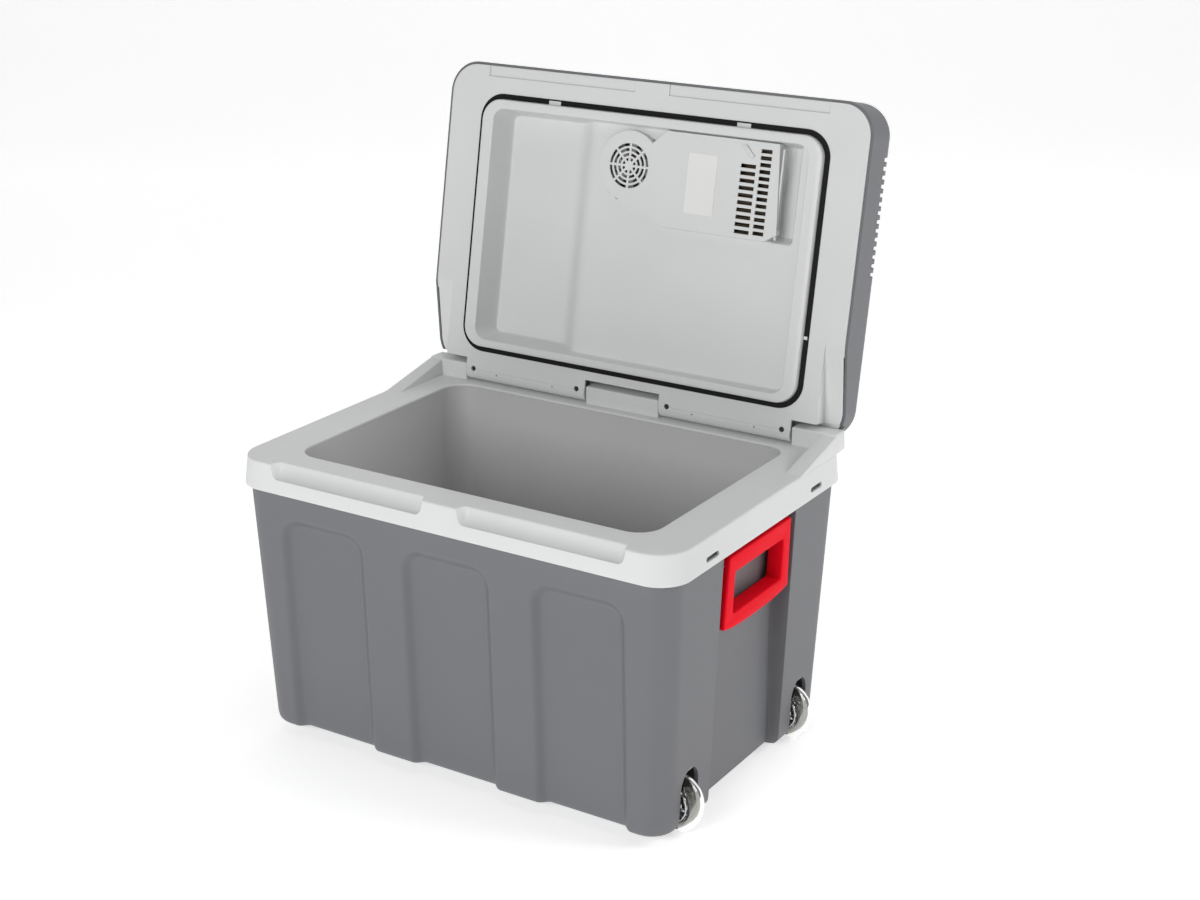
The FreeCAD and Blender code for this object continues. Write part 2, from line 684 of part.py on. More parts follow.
def round_top(name, piece, radius):
    """Round the upper edge of a padded body."""
    doc.recompute()
    base = piece.Tip
    faces = base.Shape.Faces
    top = max(range(len(faces)), key=lambda index: faces[index].CenterOfMass.z)
    fillet = piece.newObject("PartDesign::Fillet", name)
    fillet.Base = (base, [f"Face{top + 1}"])
    fillet.setExpression("Radius", str(radius))
    return piece


def cover_form(name, gap):
    """The outer form of the lid's cover, made smaller all round by a gap."""
    half = f"dims.lid_half_length - {gap}"
    front, rear = f"dims.lid_front - {gap}", f"-(dims.lid_rear - {gap})"
    heights = ("1", f"dims.lid_height - {gap}")
    block = lid_block(name, half, front, rear, f"dims.lid_corner - {gap}", heights, "-dims.lid_draft")
    return round_top(f"{name}_edge", block, f"dims.lid_edge - {gap}")


def rim_wedge(name, side, gap):
    """The rising gap over one ramp of the collar, made larger by a gap."""
    points = [
        ("-dims.ledge_start - 1", up("-2")),
        ("10", up("-2")),
        ("10", up(f"dims.ledge_depth + {gap}")),
        ("-dims.pocket_front", up(f"dims.ledge_depth + {gap}")),
        (f"-dims.ledge_start - {gap}", up("0")),
    ]
    offset = f"dims.ledge_inner - {gap}" if side > 0 else "-310"
    return prism(name, "YZ_Plane", points, offset, f"310 - dims.ledge_inner + {gap}")


def vent_slots(name):
    """The slots in the right-hand upper edge of the cover."""
    slots = []
    for index in range(14):
        near = f"dims.vent_rear + {index} * dims.vent_pitch"
        far = f"{near} + dims.vent_pitch / 2"
        slots.append(lid_box(f"{name}_{index + 1}", ("262", "300"), (near, far), ("43", "70")))
    return slots


def fan_blades(name, count, inner, outer, thick, heights, lean=0):
    """Radial bars round the fan's axis, from one radius to another."""
    low, high = (value(height) for height in heights)
    centre = Vector(value("dims.fan_across"), -value("dims.fan_along"), value(up(low)))
    blades = []
    for index in range(count):
        blade = doc.addObject("Part::Box", f"{name}_{index + 1}")
        blade.Length = outer - inner
        blade.Width = thick
        blade.Height = high - low
        turn = Rotation(Vector(0, 0, 1), 360 * index / count)
        tilt = Placement(Vector(inner, -thick / 2, 0), Rotation(Vector(0, 0, 1), lean))
        blade.Placement = Placement(centre, turn).multiply(tilt)
        blades.append(blade)
    return blades


def ring_slots(name, radii, width, heights, spokes):
    """Ring-shaped slots round the fan's axis, crossed by spokes."""
    rings = []
    for index, radius in enumerate(radii, start=1):
        outer = lid_disc(f"{name}_outer_{index}", f"{radius} + {width}", heights)
        rings.append(cut(f"{name}_ring_{index}", outer, [lid_disc(f"{name}_{index}", radius, heights)]))
    bars = fan_blades(f"{name}_bar", spokes, 2, 50, 3, heights)
    return cut(name, fuse(f"{name}_rings", rings), bars)


def make_lid_shell():
    """The dark cover with its vents, air intake and the opening for the power panel."""
    tools = [cover_form("cover_inner_form", "dims.lid_wall")]
    behind = ("-30", "dims.pocket_front")
    pockets = lid_box("cover_rear", ("-310", "310"), behind, ("-2", "dims.pocket_depth"))
    tools += [pockets, rim_wedge("cover_wedge_left", -1, "0"), rim_wedge("cover_wedge_right", 1, "0")]
    tools += vent_slots("vent")
    tools.append(ring_slots("intake", (10, 20, 30), 5, ("60", "70"), 8))
    tools.append(lid_box("panel_opening", ("131", "219"), ("-10", "2"), ("34.5", "45.5")))
    cover = cut("lid_cover", cover_form("cover_outer_form", "0"), tools)
    keep_lid(cover, "lid_outer_shell")


def make_lid_frame():
    """The light rim: its plate, the walls of its hollows and the seats of the hinge barrels."""
    half = "dims.rim_half_length"
    corner = "dims.lid_corner - 3.2"
    plate = lid_block("rim_plate", half, "dims.rim_front", "-4.5", corner, ("0", "dims.rim_wall"))
    pieces = [plate]
    ledge_walls = [rim_wedge("ledge_left", -1, "3"), rim_wedge("ledge_right", 1, "3")]
    inner_half = f"{half} - 1.2"
    ledge_limit = lid_block("ledge_limit", inner_half, "380", "-3.5", corner, ("0", "40"))
    pieces.append(common("ledges", [fuse("ledge_walls", ledge_walls), ledge_limit]))
    wall_reach = ("dims.pocket_front", "dims.pocket_front + 3")
    pieces.append(lid_box("rear_wall", (f"-{half} + 8", f"{half} - 8"), wall_reach, ("0", "35")))
    roof = lid_block("rear_roof", inner_half, "60", "-3.5", "38", ("dims.pocket_depth", "35"))
    roof_reach = ("-10", "dims.pocket_front + 3")
    roof_limit = lid_box("roof_limit", ("-300", "300"), roof_reach, ("30", "40"))
    pieces.append(common("roof", [roof, roof_limit]))
    for side in (-1, 1):
        for index, place in enumerate(("66", "225"), start=1):
            middle = f"({side} * {place})"
            across = (f"{middle} - 9", f"{middle} + 9")
            seat_heights = ("7 + dims.barrel_radius", "dims.pocket_depth")
            seat = lid_box(f"seat_{side}_{index}", across, ("-4.9", "dims.pocket_front"), seat_heights)
            pieces.append(seat)
    form = fuse("frame_form", pieces)

    seal_hole = lid_block(
        "seal_hole", "dims.seal_half_length", "dims.seal_front", "dims.seal_rear",
        "dims.seal_corner", ("-1", "dims.rim_wall + 6"),
    )
    tools = [seal_hole]
    ledges = [rim_wedge("ledge_cut_left", -1, "0"), rim_wedge("ledge_cut_right", 1, "0")]
    tools += ledges
    heights = ("-1", "dims.pocket_depth")
    behind = ("-30", "dims.pocket_front")
    for index, across in enumerate((("-310", "-236.5"), ("-54", "54"), ("236.5", "310")), start=1):
        tools.append(lid_box(f"pocket_{index}", across, behind, heights))
    tools.append(lid_box("barrel_room", ("-240", "240"), ("-30", "1.5"), ("-1", "19.5")))
    scoop_reach = ("dims.scoop_rear", "dims.rim_front + 5")
    for index, across in enumerate((("-239.5", "-23.7"), ("24.4", "239.5")), start=1):
        tools.append(lid_box(f"rim_scoop_{index}", across, scoop_reach, ("-1", "dims.scoop_depth")))
    tools += screw_bores("frame_bore", "1.5", "4.6", "30")
    tools += screw_bores("frame_recess", "3.4", "-1", "4.6")
    keep_lid(cut("lid_rim", form, tools), "lid_frame")


def screw_bores(name, radius, low, high):
    """Four bores in the line of the hinge screws, between two heights."""
    bores = []
    for side in (-1, 1):
        for place in ("66", "225"):
            start = (f"{side} * {place}", "dims.screw_back", up(low))
            bores.append(cylinder(f"{name}_{side}_{place}", radius, f"{high} - ({low})", start))
    return bores


def make_hinge_covers():
    """The two hinge barrels of the lid and the screws that hold them."""
    for end, side in (("left", -1), ("right", 1)):
        inner, outer = "dims.cover_inner", "dims.cover_outer"
        left, right = (inner, outer) if side > 0 else (f"-{outer}", f"-{inner}")
        start = (left, "0", "0")
        barrel = cylinder(f"barrel_round_{end}", "dims.barrel_radius", f"{right} - {left}", start, "x")
        limit = box(f"barrel_limit_{end}", (left, "-5.5", "-13"), (right, "13", "9.6"))
        flange = box(f"barrel_flange_{end}", (left, "5", "0"), (right, "dims.lid_rear", "19.3"))
        form = fuse(f"barrel_form_{end}", [common(f"barrel_{end}", [barrel, limit]), flange])
        tools = [
            box(f"barrel_top_{end}", (left, "-6", "7"), (right, "5", "20")),
            box(f"barrel_step_{end}", (left, "-6", "-13"), (right, "-1.5", "-9.2")),
        ]
        tools += hinge_pins(f"barrel_bore_{end}", side, "dims.running_gap", ("0", "0"))
        for place in ("66", "225"):
            at = f"{side} * {place}"
            name = f"{end}_{place}"
            tools.append(cylinder(f"recess_{name}", 3.4, 6, (at, "dims.screw_back", up("-1.4"))))
            tools.append(cylinder(f"shank_{name}", 1.5, 20, (at, "dims.screw_back", up("4.5"))))
        for place in ("102.4", "188.3"):
            at = f"{side} * {place}"
            tools.append(cylinder(f"blind_{end}_{place}", 1, 5, (at, "1.5", up("-1"))))
        keep_lid(cut(f"hinge_barrel_{end}", form, tools), f"hinge_cover_{end}")

    screws = []
    for side in (-1, 1):
        for place in ("66", "225"):
            at = f"{side} * {place}"
            name = f"{side}_{place}"
            head = cylinder(f"head_{name}", 3.1, 2, (at, "dims.screw_back", up("2.6")))
            shank = cylinder(f"thread_{name}", 1.5, 23, (at, "dims.screw_back", up("4.6")))
            slot_low = (f"{at} - 2", "dims.screw_back - 0.4", up("2"))
            slot = box(f"drive_{name}", slot_low, (f"{at} + 2", "dims.screw_back + 0.4", up("3.6")))
            screws.append(cut(f"screw_{name}", fuse(f"screw_form_{name}", [head, shank]), [slot]))
    group = doc.addObject("Part::Compound", "hinge_screw_group")
    group.Links = screws
    keep_lid(group, "hinge_screws")


def tray_block(name, left, right, gap, depth):
    """One level of the hollow in the lid's liner, made larger by a gap."""
    sides = (
        f"{left} - {gap}", f"{right} + {gap}",
        f"-dims.tray_front - {gap}", f"-dims.tray_rear + {gap}",
    )
    reach = f"{depth} + dims.plug_height + {gap}"
    return rounded_block(
        name, sides, f"dims.tray_corner + {gap}", up("-dims.plug_height"), reach, "-dims.tray_draft"
    )


def plug_block(name, gap, heights):
    half = f"dims.seal_half_length - dims.seal_width - 0.2 - {gap}"
    front = f"dims.seal_front - dims.seal_width - 0.2 - {gap}"
    rear = f"dims.seal_rear + dims.seal_width + 0.2 + {gap}"
    return lid_block(name, half, front, rear, f"26.5 - {gap}", heights)


SINK_SIDES = ("dims.sink_across", "dims.sink_along")


def sink_box(name, half_across, half_along, heights):
    """A box about the middle of the heat sinks."""
    across, along = SINK_SIDES
    return lid_box(
        name,
        (f"{across} - {half_across}", f"{across} + {half_across}"),
        (f"{along} - {half_along}", f"{along} + {half_along}"),
        heights,
    )


def make_liner():
    """The liner of the lid, with its hollow, the seal and the foam behind it."""
    left, right, step = "-dims.tray_half_length", "dims.tray_half_length", "dims.shelf_edge"
    flange = lid_block(
        "liner_flange", "dims.seal_half_length + 5", "dims.seal_front + 5", "dims.seal_rear - 5",
        "dims.seal_corner + 5", ("dims.rim_wall", "6"),
    )
    deep_outer = tray_block("deep_outer", left, step, "3", "dims.tray_depth")
    shelf_outer = tray_block("shelf_outer", left, right, "3", "dims.shelf_depth")
    well = lid_disc("fan_well_outer", "dims.fan_well + 3", ("0", "19"))
    outlet = lid_box("outlet_outer", ("173", "209"), ("220.3", "341.3"), ("5", "28"))
    plug = plug_block("plug", "0", ("-dims.plug_height", "6"))
    form = fuse("liner_form", [flange, deep_outer, shelf_outer, well, outlet, plug])

    groove = cut(
        "plug_groove",
        plug_block("groove_outer", "3", ("-dims.plug_height + 3", "7")),
        [tray_block("groove_inner", left, right, "3", "dims.tray_depth")],
    )
    deep = tray_block("deep_hollow", left, step, "0", "dims.tray_depth")
    shelf = tray_block("shelf_hollow", left, right, "0", "dims.shelf_depth")
    tools = [groove, deep, shelf]
    tools.append(lid_disc("well_hollow", "dims.fan_well", ("0", "16")))
    tools.append(lid_disc("shaft_hole", "4", ("15", "20")))
    tools.append(lid_box("outlet_hollow", ("176", "206"), ("223.3", "338.3"), ("0", "25")))
    tools.append(sink_box("cold_hole", "22", "51", ("4", "12")))
    keep_lid(cut("liner", form, tools), "lid_liner")

    seal_form = lid_block(
        "seal_form", "dims.seal_half_length", "dims.seal_front", "dims.seal_rear",
        "dims.seal_corner", ("-0.5", "dims.rim_wall"),
    )
    inner = "dims.seal_width"
    seal_hole = lid_block(
        "seal_inner", f"dims.seal_half_length - {inner}", f"dims.seal_front - {inner}",
        f"dims.seal_rear + {inner}", f"dims.seal_corner - {inner}", ("-1", "dims.rim_wall + 1"),
    )
    keep_lid(cut("seal", seal_form, [seal_hole]), "lid_seal")

    block = lid_block("foam_block", "285", "383", "22", "30", ("12", "60"))
    foam = round_top("foam_edge", block, "18")
    low_foam = lid_block("foam_low", "262", "370", "30", "30", ("6.2", "12"))
    tools = [
        tray_block("foam_deep", left, step, "3", "dims.tray_depth"),
        tray_block("foam_shelf", left, right, "3", "dims.shelf_depth"),
        rim_wedge("foam_ledge_left", -1, "3"),
        rim_wedge("foam_ledge_right", 1, "3"),
        lid_disc("foam_well", "dims.fan_well + 3", ("0", "19")),
        lid_disc("foam_motor", "18.4", ("18", "40")),
        lid_box("foam_outlet", ("173", "209"), ("220.3", "341.3"), ("5", "28")),
        sink_box("foam_bridge", "25.2", "25.2", ("5", "31")),
        sink_box("foam_sink_base", "28", "51.2", ("5", "13.2")),
        lid_box("air_chamber", ("-66", "262"), ("215", "345"), ("29.8", "61")),
        lid_box("air_outlet", ("258", "290"), ("188", "345"), ("34", "61")),
    ]
    keep_lid(cut("lid_foam", fuse("foam_blocks", [foam, low_foam]), tools), "lid_insulation")


def duct_outline(gap):
    """The straight-sided part of the duct cover, made smaller by a gap."""
    front, rear = f"-dims.duct_front + {gap}", f"-dims.duct_rear - {gap}"
    return [
        ("dims.fan_across - 22.5", f"-dims.fan_along + 37 - {gap}"),
        ("dims.fan_across + 32", f"-dims.fan_along - 32.5 + {gap}"),
        (f"29 + {gap} / 2", front),
        (f"dims.duct_end - {gap}", front),
        (f"dims.duct_end + 8 - {gap}", f"{rear} - 10"),
        (f"dims.duct_end - 8 - {gap} / 2", rear),
        (f"34 - {gap} / 2", rear),
    ]


def make_duct():
    """The duct cover with its grille and slots, and the plain plate on it."""
    level = up("-dims.duct_rise")
    depth = "dims.duct_rise + dims.shelf_depth"
    outside = prism("duct_straight", "XY_Plane", duct_outline("0"), level, depth)
    boss = lid_disc("duct_boss", "dims.duct_radius", ("-dims.duct_rise", "dims.shelf_depth"))
    wall = "dims.duct_wall"
    inner_level = up(f"-dims.duct_rise + {wall}")
    inside = prism("duct_room", "XY_Plane", duct_outline(wall), inner_level, depth)
    room_heights = (f"-dims.duct_rise + {wall}", "7")
    round_room = lid_disc("duct_round_room", f"dims.duct_radius - {wall}", room_heights)
    face = ("-dims.duct_rise - 1", "1")
    tools = [inside, round_room, ring_slots("grille", (6, 12, 18, 24), 3.4, face, 8)]
    for index in range(10):
        near = f"225.8 + {index} * 8.7"
        along = (near, f"{near} + 4.6")
        tools.append(lid_box(f"slot_left_{index + 1}", ("133.5", "153.5"), along, face))
    for index in range(13):
        near = f"226.5 + {index} * 8.1"
        along = (near, f"{near} + 4.6")
        tools.append(lid_box(f"slot_right_{index + 1}", ("158.5", "173"), along, face))
    for index in range(4):
        near = f"236 + {index} * 24"
        along = (near, f"{near} + 21")
        tools.append(lid_box(f"outlet_{index + 1}", ("179.5", "195"), along, ("-1", "6")))
    keep_lid(cut("duct", fuse("duct_form", [outside, boss]), tools), "duct_cover")

    heights = ("-dims.duct_rise - 0.6", "-dims.duct_rise")
    label = lid_box("label_plate", ("62.5", "102"), ("241.3", "314"), heights)
    keep_lid(label, "blank_plate")


def make_cooling_unit():
    """The heat sinks, the thermoelectric module, the fan motor and the fan."""
    cold_fins = [sink_box("cold_base", "22", "51", ("9", "13"))]
    for index in range(12):
        near = f"dims.sink_along - 51 + {index} * 9.1"
        across = ("dims.sink_across - 22", "dims.sink_across + 22")
        cold_fins.append(lid_box(f"cold_fin_{index + 1}", across, (near, f"{near} + 1.5"), ("0", "9")))
    keep_lid(fuse("cold_sink_form", cold_fins), "cold_sink")
    keep_lid(sink_box("bridge", "22", "25", ("13", "26")), "cold_bridge")
    keep_lid(sink_box("module", "20", "20", ("26", "29.8")), "peltier_module")

    hot_fins = [sink_box("hot_base", "70", "57.5", ("29.8", "34.8"))]
    for index in range(20):
        near = f"dims.sink_along - 57.5 + {index} * 5.95"
        across = ("dims.sink_across - 70", "dims.sink_across + 70")
        along = (near, f"{near} + 1.6")
        hot_fins.append(lid_box(f"hot_fin_{index + 1}", across, along, ("34.8", "58")))
    keep_lid(fuse("hot_sink_form", hot_fins), "hot_sink")

    bore = lid_disc("motor_bore", "dims.shaft_radius + dims.running_gap", ("18", "45"))
    keep_lid(cut("motor", lid_disc("motor_case", "18", ("19", "43")), [bore]), "fan_motor")
    keep_lid(lid_disc("shaft", "dims.shaft_radius", ("2", "58")), "fan_shaft")
    fans = (("inner", 9, ("7", "15"), 37), ("outer", 11, ("45", "57"), 42))
    for place, count, heights, tip in fans:
        blades = fan_blades(f"{place}_blade", count, 12, tip, 1.6, heights)
        hub = lid_disc(f"{place}_hub", "14", heights)
        hole = lid_disc(f"{place}_hub_hole", "dims.shaft_radius", ("0", "60"))
        form = fuse(f"{place}_fan_form", [hub, *blades])
        keep_lid(cut(f"{place}_fan", form, [hole]), f"{place}_impeller")


def make_power_panel():
    """The panel on the lid's rear wall with its two inlets and its switch."""
    plate = lid_box("panel_plate", ("131", "219"), ("-8", "-5"), ("34.5", "45.5"))
    holes = [
        lid_box("mains_hole", ("137", "161"), ("-9", "-4"), ("36", "44")),
        cylinder("dc_hole", 4, 10, ("174", "4", up("40")), "y"),
        lid_box("switch_hole", ("188", "208"), ("-9", "-4"), ("37.5", "42.5")),
    ]
    keep_lid(cut("panel", plate, holes), "power_panel")
    mains = lid_box("mains_body", ("137", "161"), ("-7.5", "-2"), ("36", "44"))
    sockets = [
        cylinder(f"mains_pin_{place}", 2.2, 6, (place, "3", up("40")), "y")
        for place in ("144.5", "153.5")
    ]
    keep_lid(cut("mains", mains, sockets), "mains_inlet")
    dc = cylinder("dc_body", 4, 5.5, ("174", "2", up("40")), "y")
    socket = cylinder("dc_socket", 2.6, 5, ("174", "3.5", up("40")), "y")
    keep_lid(cut("dc", dc, [socket]), "dc_inlet")
    knob = lid_box("switch_knob", ("193.95", "202.05"), ("-9.5", "-4"), ("37.6", "42.4"))
    plate = lid_box("switch_plate", ("191", "205"), ("-4.95", "-3.4"), ("36.5", "43.5"))
    keep_lid(fuse("switch", [knob, plate]), "mode_switch")


# ---------------------------------------------------------------- assembly

make_body()
make_collar()
for end, side in (("front", -1), ("back", 1)):
    make_wheel(end, side)
    make_foot(end, side)
for end, side in (("left", -1), ("right", 1)):
    make_handle(end, side)
make_lid_shell()
make_lid_frame()
make_hinge_covers()
make_liner()
make_duct()
make_cooling_unit()
make_power_panel()
doc.recompute()

broken = [item.Label for item in doc.Objects if {"Invalid", "Error"} & set(item.State)]
broken += [part.Label for part in PARTS if part.Shape.isNull() or not part.Shape.isValid()]
if broken:
    raise RuntimeError(f"these objects did not build: {broken}")

os.makedirs("parts", exist_ok=True)
for part in PARTS:
    part.Shape.exportStep(os.path.join("parts", f"{part.Label}.step"))
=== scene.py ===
import json
import math

import bmesh
import bpy
import numpy as np
from mathutils import Matrix, Vector


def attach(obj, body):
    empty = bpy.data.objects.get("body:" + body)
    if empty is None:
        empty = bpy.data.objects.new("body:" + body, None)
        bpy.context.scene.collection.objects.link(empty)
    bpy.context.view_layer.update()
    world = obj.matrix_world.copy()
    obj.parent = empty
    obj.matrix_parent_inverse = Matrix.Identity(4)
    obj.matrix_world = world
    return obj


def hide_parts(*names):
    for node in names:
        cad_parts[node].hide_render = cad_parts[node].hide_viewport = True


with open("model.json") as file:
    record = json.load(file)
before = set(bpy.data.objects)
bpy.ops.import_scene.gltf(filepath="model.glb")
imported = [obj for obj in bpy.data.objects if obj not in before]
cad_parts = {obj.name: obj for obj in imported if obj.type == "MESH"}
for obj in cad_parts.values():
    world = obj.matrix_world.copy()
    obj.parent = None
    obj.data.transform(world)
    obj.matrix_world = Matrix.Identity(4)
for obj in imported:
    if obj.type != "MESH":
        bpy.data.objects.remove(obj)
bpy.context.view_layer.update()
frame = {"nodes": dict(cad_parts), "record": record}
NODES = frame["nodes"]

# Lengths are in millimetres, in the frame of the part: +X is the wheel end, +Y the hinge side, +Z up.
# Only the stage at the end is in metres.
MM = 0.001
HINGE_Y, HINGE_Z = 188.3, 375.7
OPEN_ANGLE = math.radians(100.2)
HINGE_OVER_RIM = 12.5


# ---------------------------------------------------------------- materials


CLOUD_SCALE = 7.0
WEAR = 0.05
GRAIN_DEPTH = 0.2


def plastic(name, colour, roughness, grain, grain_size, edge=1.2, specular=0.5, mottle=0.05):
    """A moulded plastic: fine grain, faint mottling and edges softened over some millimetres."""
    material = bpy.data.materials.new(name)
    material.use_nodes = True
    tree = material.node_tree
    shader = tree.nodes["Principled BSDF"]
    link = tree.links.new
    coords = tree.nodes.new("ShaderNodeTexCoord")

    cloud = tree.nodes.new("ShaderNodeTexNoise")
    cloud.inputs["Scale"].default_value = CLOUD_SCALE
    cloud.inputs["Detail"].default_value = 4.0
    link(coords.outputs["Object"], cloud.inputs["Vector"])
    tint = tree.nodes.new("ShaderNodeMix")
    tint.data_type = "RGBA"
    dark = [channel * (1 - mottle) for channel in colour] + [1]
    light = [min(1.0, channel * (1 + mottle)) for channel in colour] + [1]
    tint.inputs["A"].default_value = dark
    tint.inputs["B"].default_value = light
    link(cloud.outputs["Fac"], tint.inputs["Factor"])
    link(tint.outputs["Result"], shader.inputs["Base Color"])

    wear = tree.nodes.new("ShaderNodeMapRange")
    wear.inputs["To Min"].default_value = roughness - WEAR
    wear.inputs["To Max"].default_value = roughness + WEAR
    link(cloud.outputs["Fac"], wear.inputs["Value"])
    link(wear.outputs["Result"], shader.inputs["Roughness"])

    fine = tree.nodes.new("ShaderNodeTexNoise")
    fine.inputs["Scale"].default_value = grain_size
    fine.inputs["Detail"].default_value = 2.0
    link(coords.outputs["Object"], fine.inputs["Vector"])
    soft = tree.nodes.new("ShaderNodeBevel")
    soft.samples = 6
    soft.inputs["Radius"].default_value = edge * MM
    bump = tree.nodes.new("ShaderNodeBump")
    bump.inputs["Strength"].default_value = grain
    bump.inputs["Distance"].default_value = GRAIN_DEPTH * MM
    link(fine.outputs["Fac"], bump.inputs["Height"])
    link(soft.outputs["Normal"], bump.inputs["Normal"])
    link(bump.outputs["Normal"], shader.inputs["Normal"])
    shader.inputs["Specular IOR Level"].default_value = specular
    return material


def metal(name, colour, roughness, edge=0.4):
    """A plain metal with a faint grain."""
    material = plastic(name, colour, roughness, 0.15, 500.0, edge, mottle=0.03)
    material.node_tree.nodes["Principled BSDF"].inputs["Metallic"].default_value = 1.0
    return material


DARK = plastic("dark_plastic", (0.146, 0.149, 0.16), 0.5, 0.35, 700.0)
LIGHT = plastic("light_plastic", (0.68, 0.69, 0.685), 0.42, 0.15, 700.0)
TUB = plastic("tub_plastic", (0.53, 0.535, 0.53), 0.45, 0.12, 600.0)
FOAM = plastic("foam", (0.8, 0.78, 0.68), 0.9, 0.8, 300.0, 1.0)
SEAL = plastic("seal_rubber", (0.008, 0.008, 0.009), 0.6, 0.2, 700.0, 1.0, specular=0.15)
RED = plastic("handle_plastic", (0.84, 0.003, 0.016), 0.55, 0.2, 700.0, 1.2, specular=0.06)
BLACK = plastic("black_plastic", (0.02, 0.02, 0.021), 0.5, 0.2, 700.0, 0.6)
CERAMIC = plastic("ceramic", (0.8, 0.8, 0.78), 0.3, 0.1, 500.0, 0.3)
STEEL = metal("steel", (0.45, 0.45, 0.46), 0.35)
# Steel of the hinge screws made near black: painted shade of the deep holes they sit in.
SCREW_STEEL_PAINTED_SHADE = metal("screw_steel_painted_shade", (0.06, 0.06, 0.06), 0.5)
ALUMINIUM = metal("sink_metal", (0.72, 0.73, 0.74), 0.3)
DARK_SINK = metal("dark_sink", (0.07, 0.055, 0.04), 0.6)
HUB = metal("hub_plastic", (0.7, 0.7, 0.72), 0.14, 1.2)
PLATE = plastic("blank_plate", (0.78, 0.78, 0.77), 0.35, 0.1, 500.0, 0.2)


def urethane():
    """The smoky see-through material of the wheel treads."""
    material = plastic("tread", (0.4, 0.4, 0.37), 0.08, 0.05, 300.0, 0.8, specular=0.3, mottle=0.15)
    shader = material.node_tree.nodes["Principled BSDF"]
    shader.inputs["Transmission Weight"].default_value = 0.97
    shader.inputs["IOR"].default_value = 1.42
    return material


TREAD = urethane()
BY_SLOT = {
    "dark_plastic": DARK, "light_plastic": LIGHT, "tub_plastic": TUB, "foam": FOAM,
    "seal_rubber": SEAL, "handle_plastic": RED, "tread": TREAD, "hub_plastic": HUB,
    "steel": STEEL, "black_plastic": BLACK, "sink_metal": ALUMINIUM, "ceramic": CERAMIC,
}


def paint(obj, material):
    """Give an object one material."""
    obj.data.materials.clear()
    obj.data.materials.append(material)


for part in frame["record"]["subparts"]:
    paint(NODES[part["node"]], BY_SLOT[part["material_slot"]])
paint(NODES["blank_plate"], PLATE)
# The hinge screws get the near-black steel: painted shade of their deep holes, over their own metal.
paint(NODES["hinge_screws"], SCREW_STEEL_PAINTED_SHADE)
paint(NODES["cold_sink"], DARK_SINK)


# ---------------------------------------------------------------- shapes


def ease(value, low, high):
    """A smooth step from 0 to 1 between two values."""
    u = np.clip((value - low) / (high - low), 0.0, 1.0)
    return u * u * (3 - 2 * u)


def stations(limit, step, dense=(), fine=0.7, reach=3.5):
    """Places from -limit to limit, closer together about some values on both sides."""
    places = list(np.linspace(-limit, limit, int(2 * limit / step) + 1))
    for value in dense:
        near = np.arange(value - reach, value + reach, fine)
        places += list(near) + list(-near)
    places = np.array(sorted(place for place in places if abs(place) <= limit))
    keep = np.concatenate([[True], np.diff(places) > fine * 0.4])
    return places[keep] / limit


def ring(half_x, half_y, radius, xs, ys, corner=10):
    """A rounded rectangle as points that start at the front left and run anticlockwise."""
    ax, ay = half_x - radius, half_y - radius
    sides = [
        np.stack([xs * ax, np.full(len(xs), -half_y)], 1),
        np.stack([np.full(len(ys), half_x), ys * ay], 1),
        np.stack([-xs * ax, np.full(len(xs), half_y)], 1),
        np.stack([np.full(len(ys), -half_x), -ys * ay], 1),
    ]
    centres = [(ax, -ay), (ax, ay), (-ax, ay), (-ax, -ay)]
    points = []
    for index, side in enumerate(sides):
        start = math.radians(-90 + 90 * index)
        turns = start + np.linspace(0, math.pi / 2, corner + 2)[1:-1]
        cx, cy = centres[index]
        arc = np.stack([cx + radius * np.cos(turns), cy + radius * np.sin(turns)], 1)
        points += [side, arc]
    return np.concatenate(points)


def on_height(points, height):
    """Flat points as places at one height."""
    return np.concatenate([points, np.full((len(points), 1), float(height))], 1)


def mesh_object(name, verts, faces, material, sharp=35.0):
    """An object from millimetre vertices, smooth but for its sharp edges."""
    mesh = bpy.data.meshes.new(name)
    mesh.from_pydata((np.asarray(verts) * MM).tolist(), [], faces)
    mesh.validate()
    obj = bpy.data.objects.new(name, mesh)
    bpy.context.scene.collection.objects.link(obj)
    shade(obj, sharp)
    paint(obj, material)
    return obj


def shade(obj, sharp):
    """Shade an object smooth, but for the edges that turn more than an angle."""
    obj.data.polygons.foreach_set("use_smooth", [True] * len(obj.data.polygons))
    obj.data.set_sharp_from_angle(angle=math.radians(sharp))


def face_outwards(obj, added=(), weld=0.0):
    """Make a mesh's faces point out. Other meshes are added and close points welded first."""
    bm = bmesh.new()
    for source in (obj, *added):
        bm.from_mesh(source.data)
    if weld:
        bmesh.ops.remove_doubles(bm, verts=bm.verts, dist=weld * MM)
    bmesh.ops.recalc_face_normals(bm, faces=bm.faces)
    bm.to_mesh(obj.data)
    bm.free()
    for source in added:
        bpy.data.objects.remove(source)
    return obj


def apply_modifiers(obj):
    """Make what an object's modifiers show its own mesh."""
    bpy.context.view_layer.update()
    graph = bpy.context.evaluated_depsgraph_get()
    result = bpy.data.meshes.new_from_object(obj.evaluated_get(graph))
    obj.modifiers.clear()
    obj.data = result


def combine(obj, other, operation):
    """Cut another mesh out of an object or join it on, and drop the other."""
    modifier = obj.modifiers.new("combine", "BOOLEAN")
    modifier.operation = operation
    modifier.solver = "EXACT"
    modifier.object = other
    apply_modifiers(obj)
    bpy.data.objects.remove(other)


def soften_edges(obj, width, segments=3):
    """Round an object's edges."""
    modifier = obj.modifiers.new("soft", "BEVEL")
    modifier.width = width * MM
    modifier.segments = segments
    modifier.limit_method = "ANGLE"
    modifier.angle_limit = math.radians(25)
    modifier.harden_normals = False
    apply_modifiers(obj)
    shade(obj, 50)
    return obj


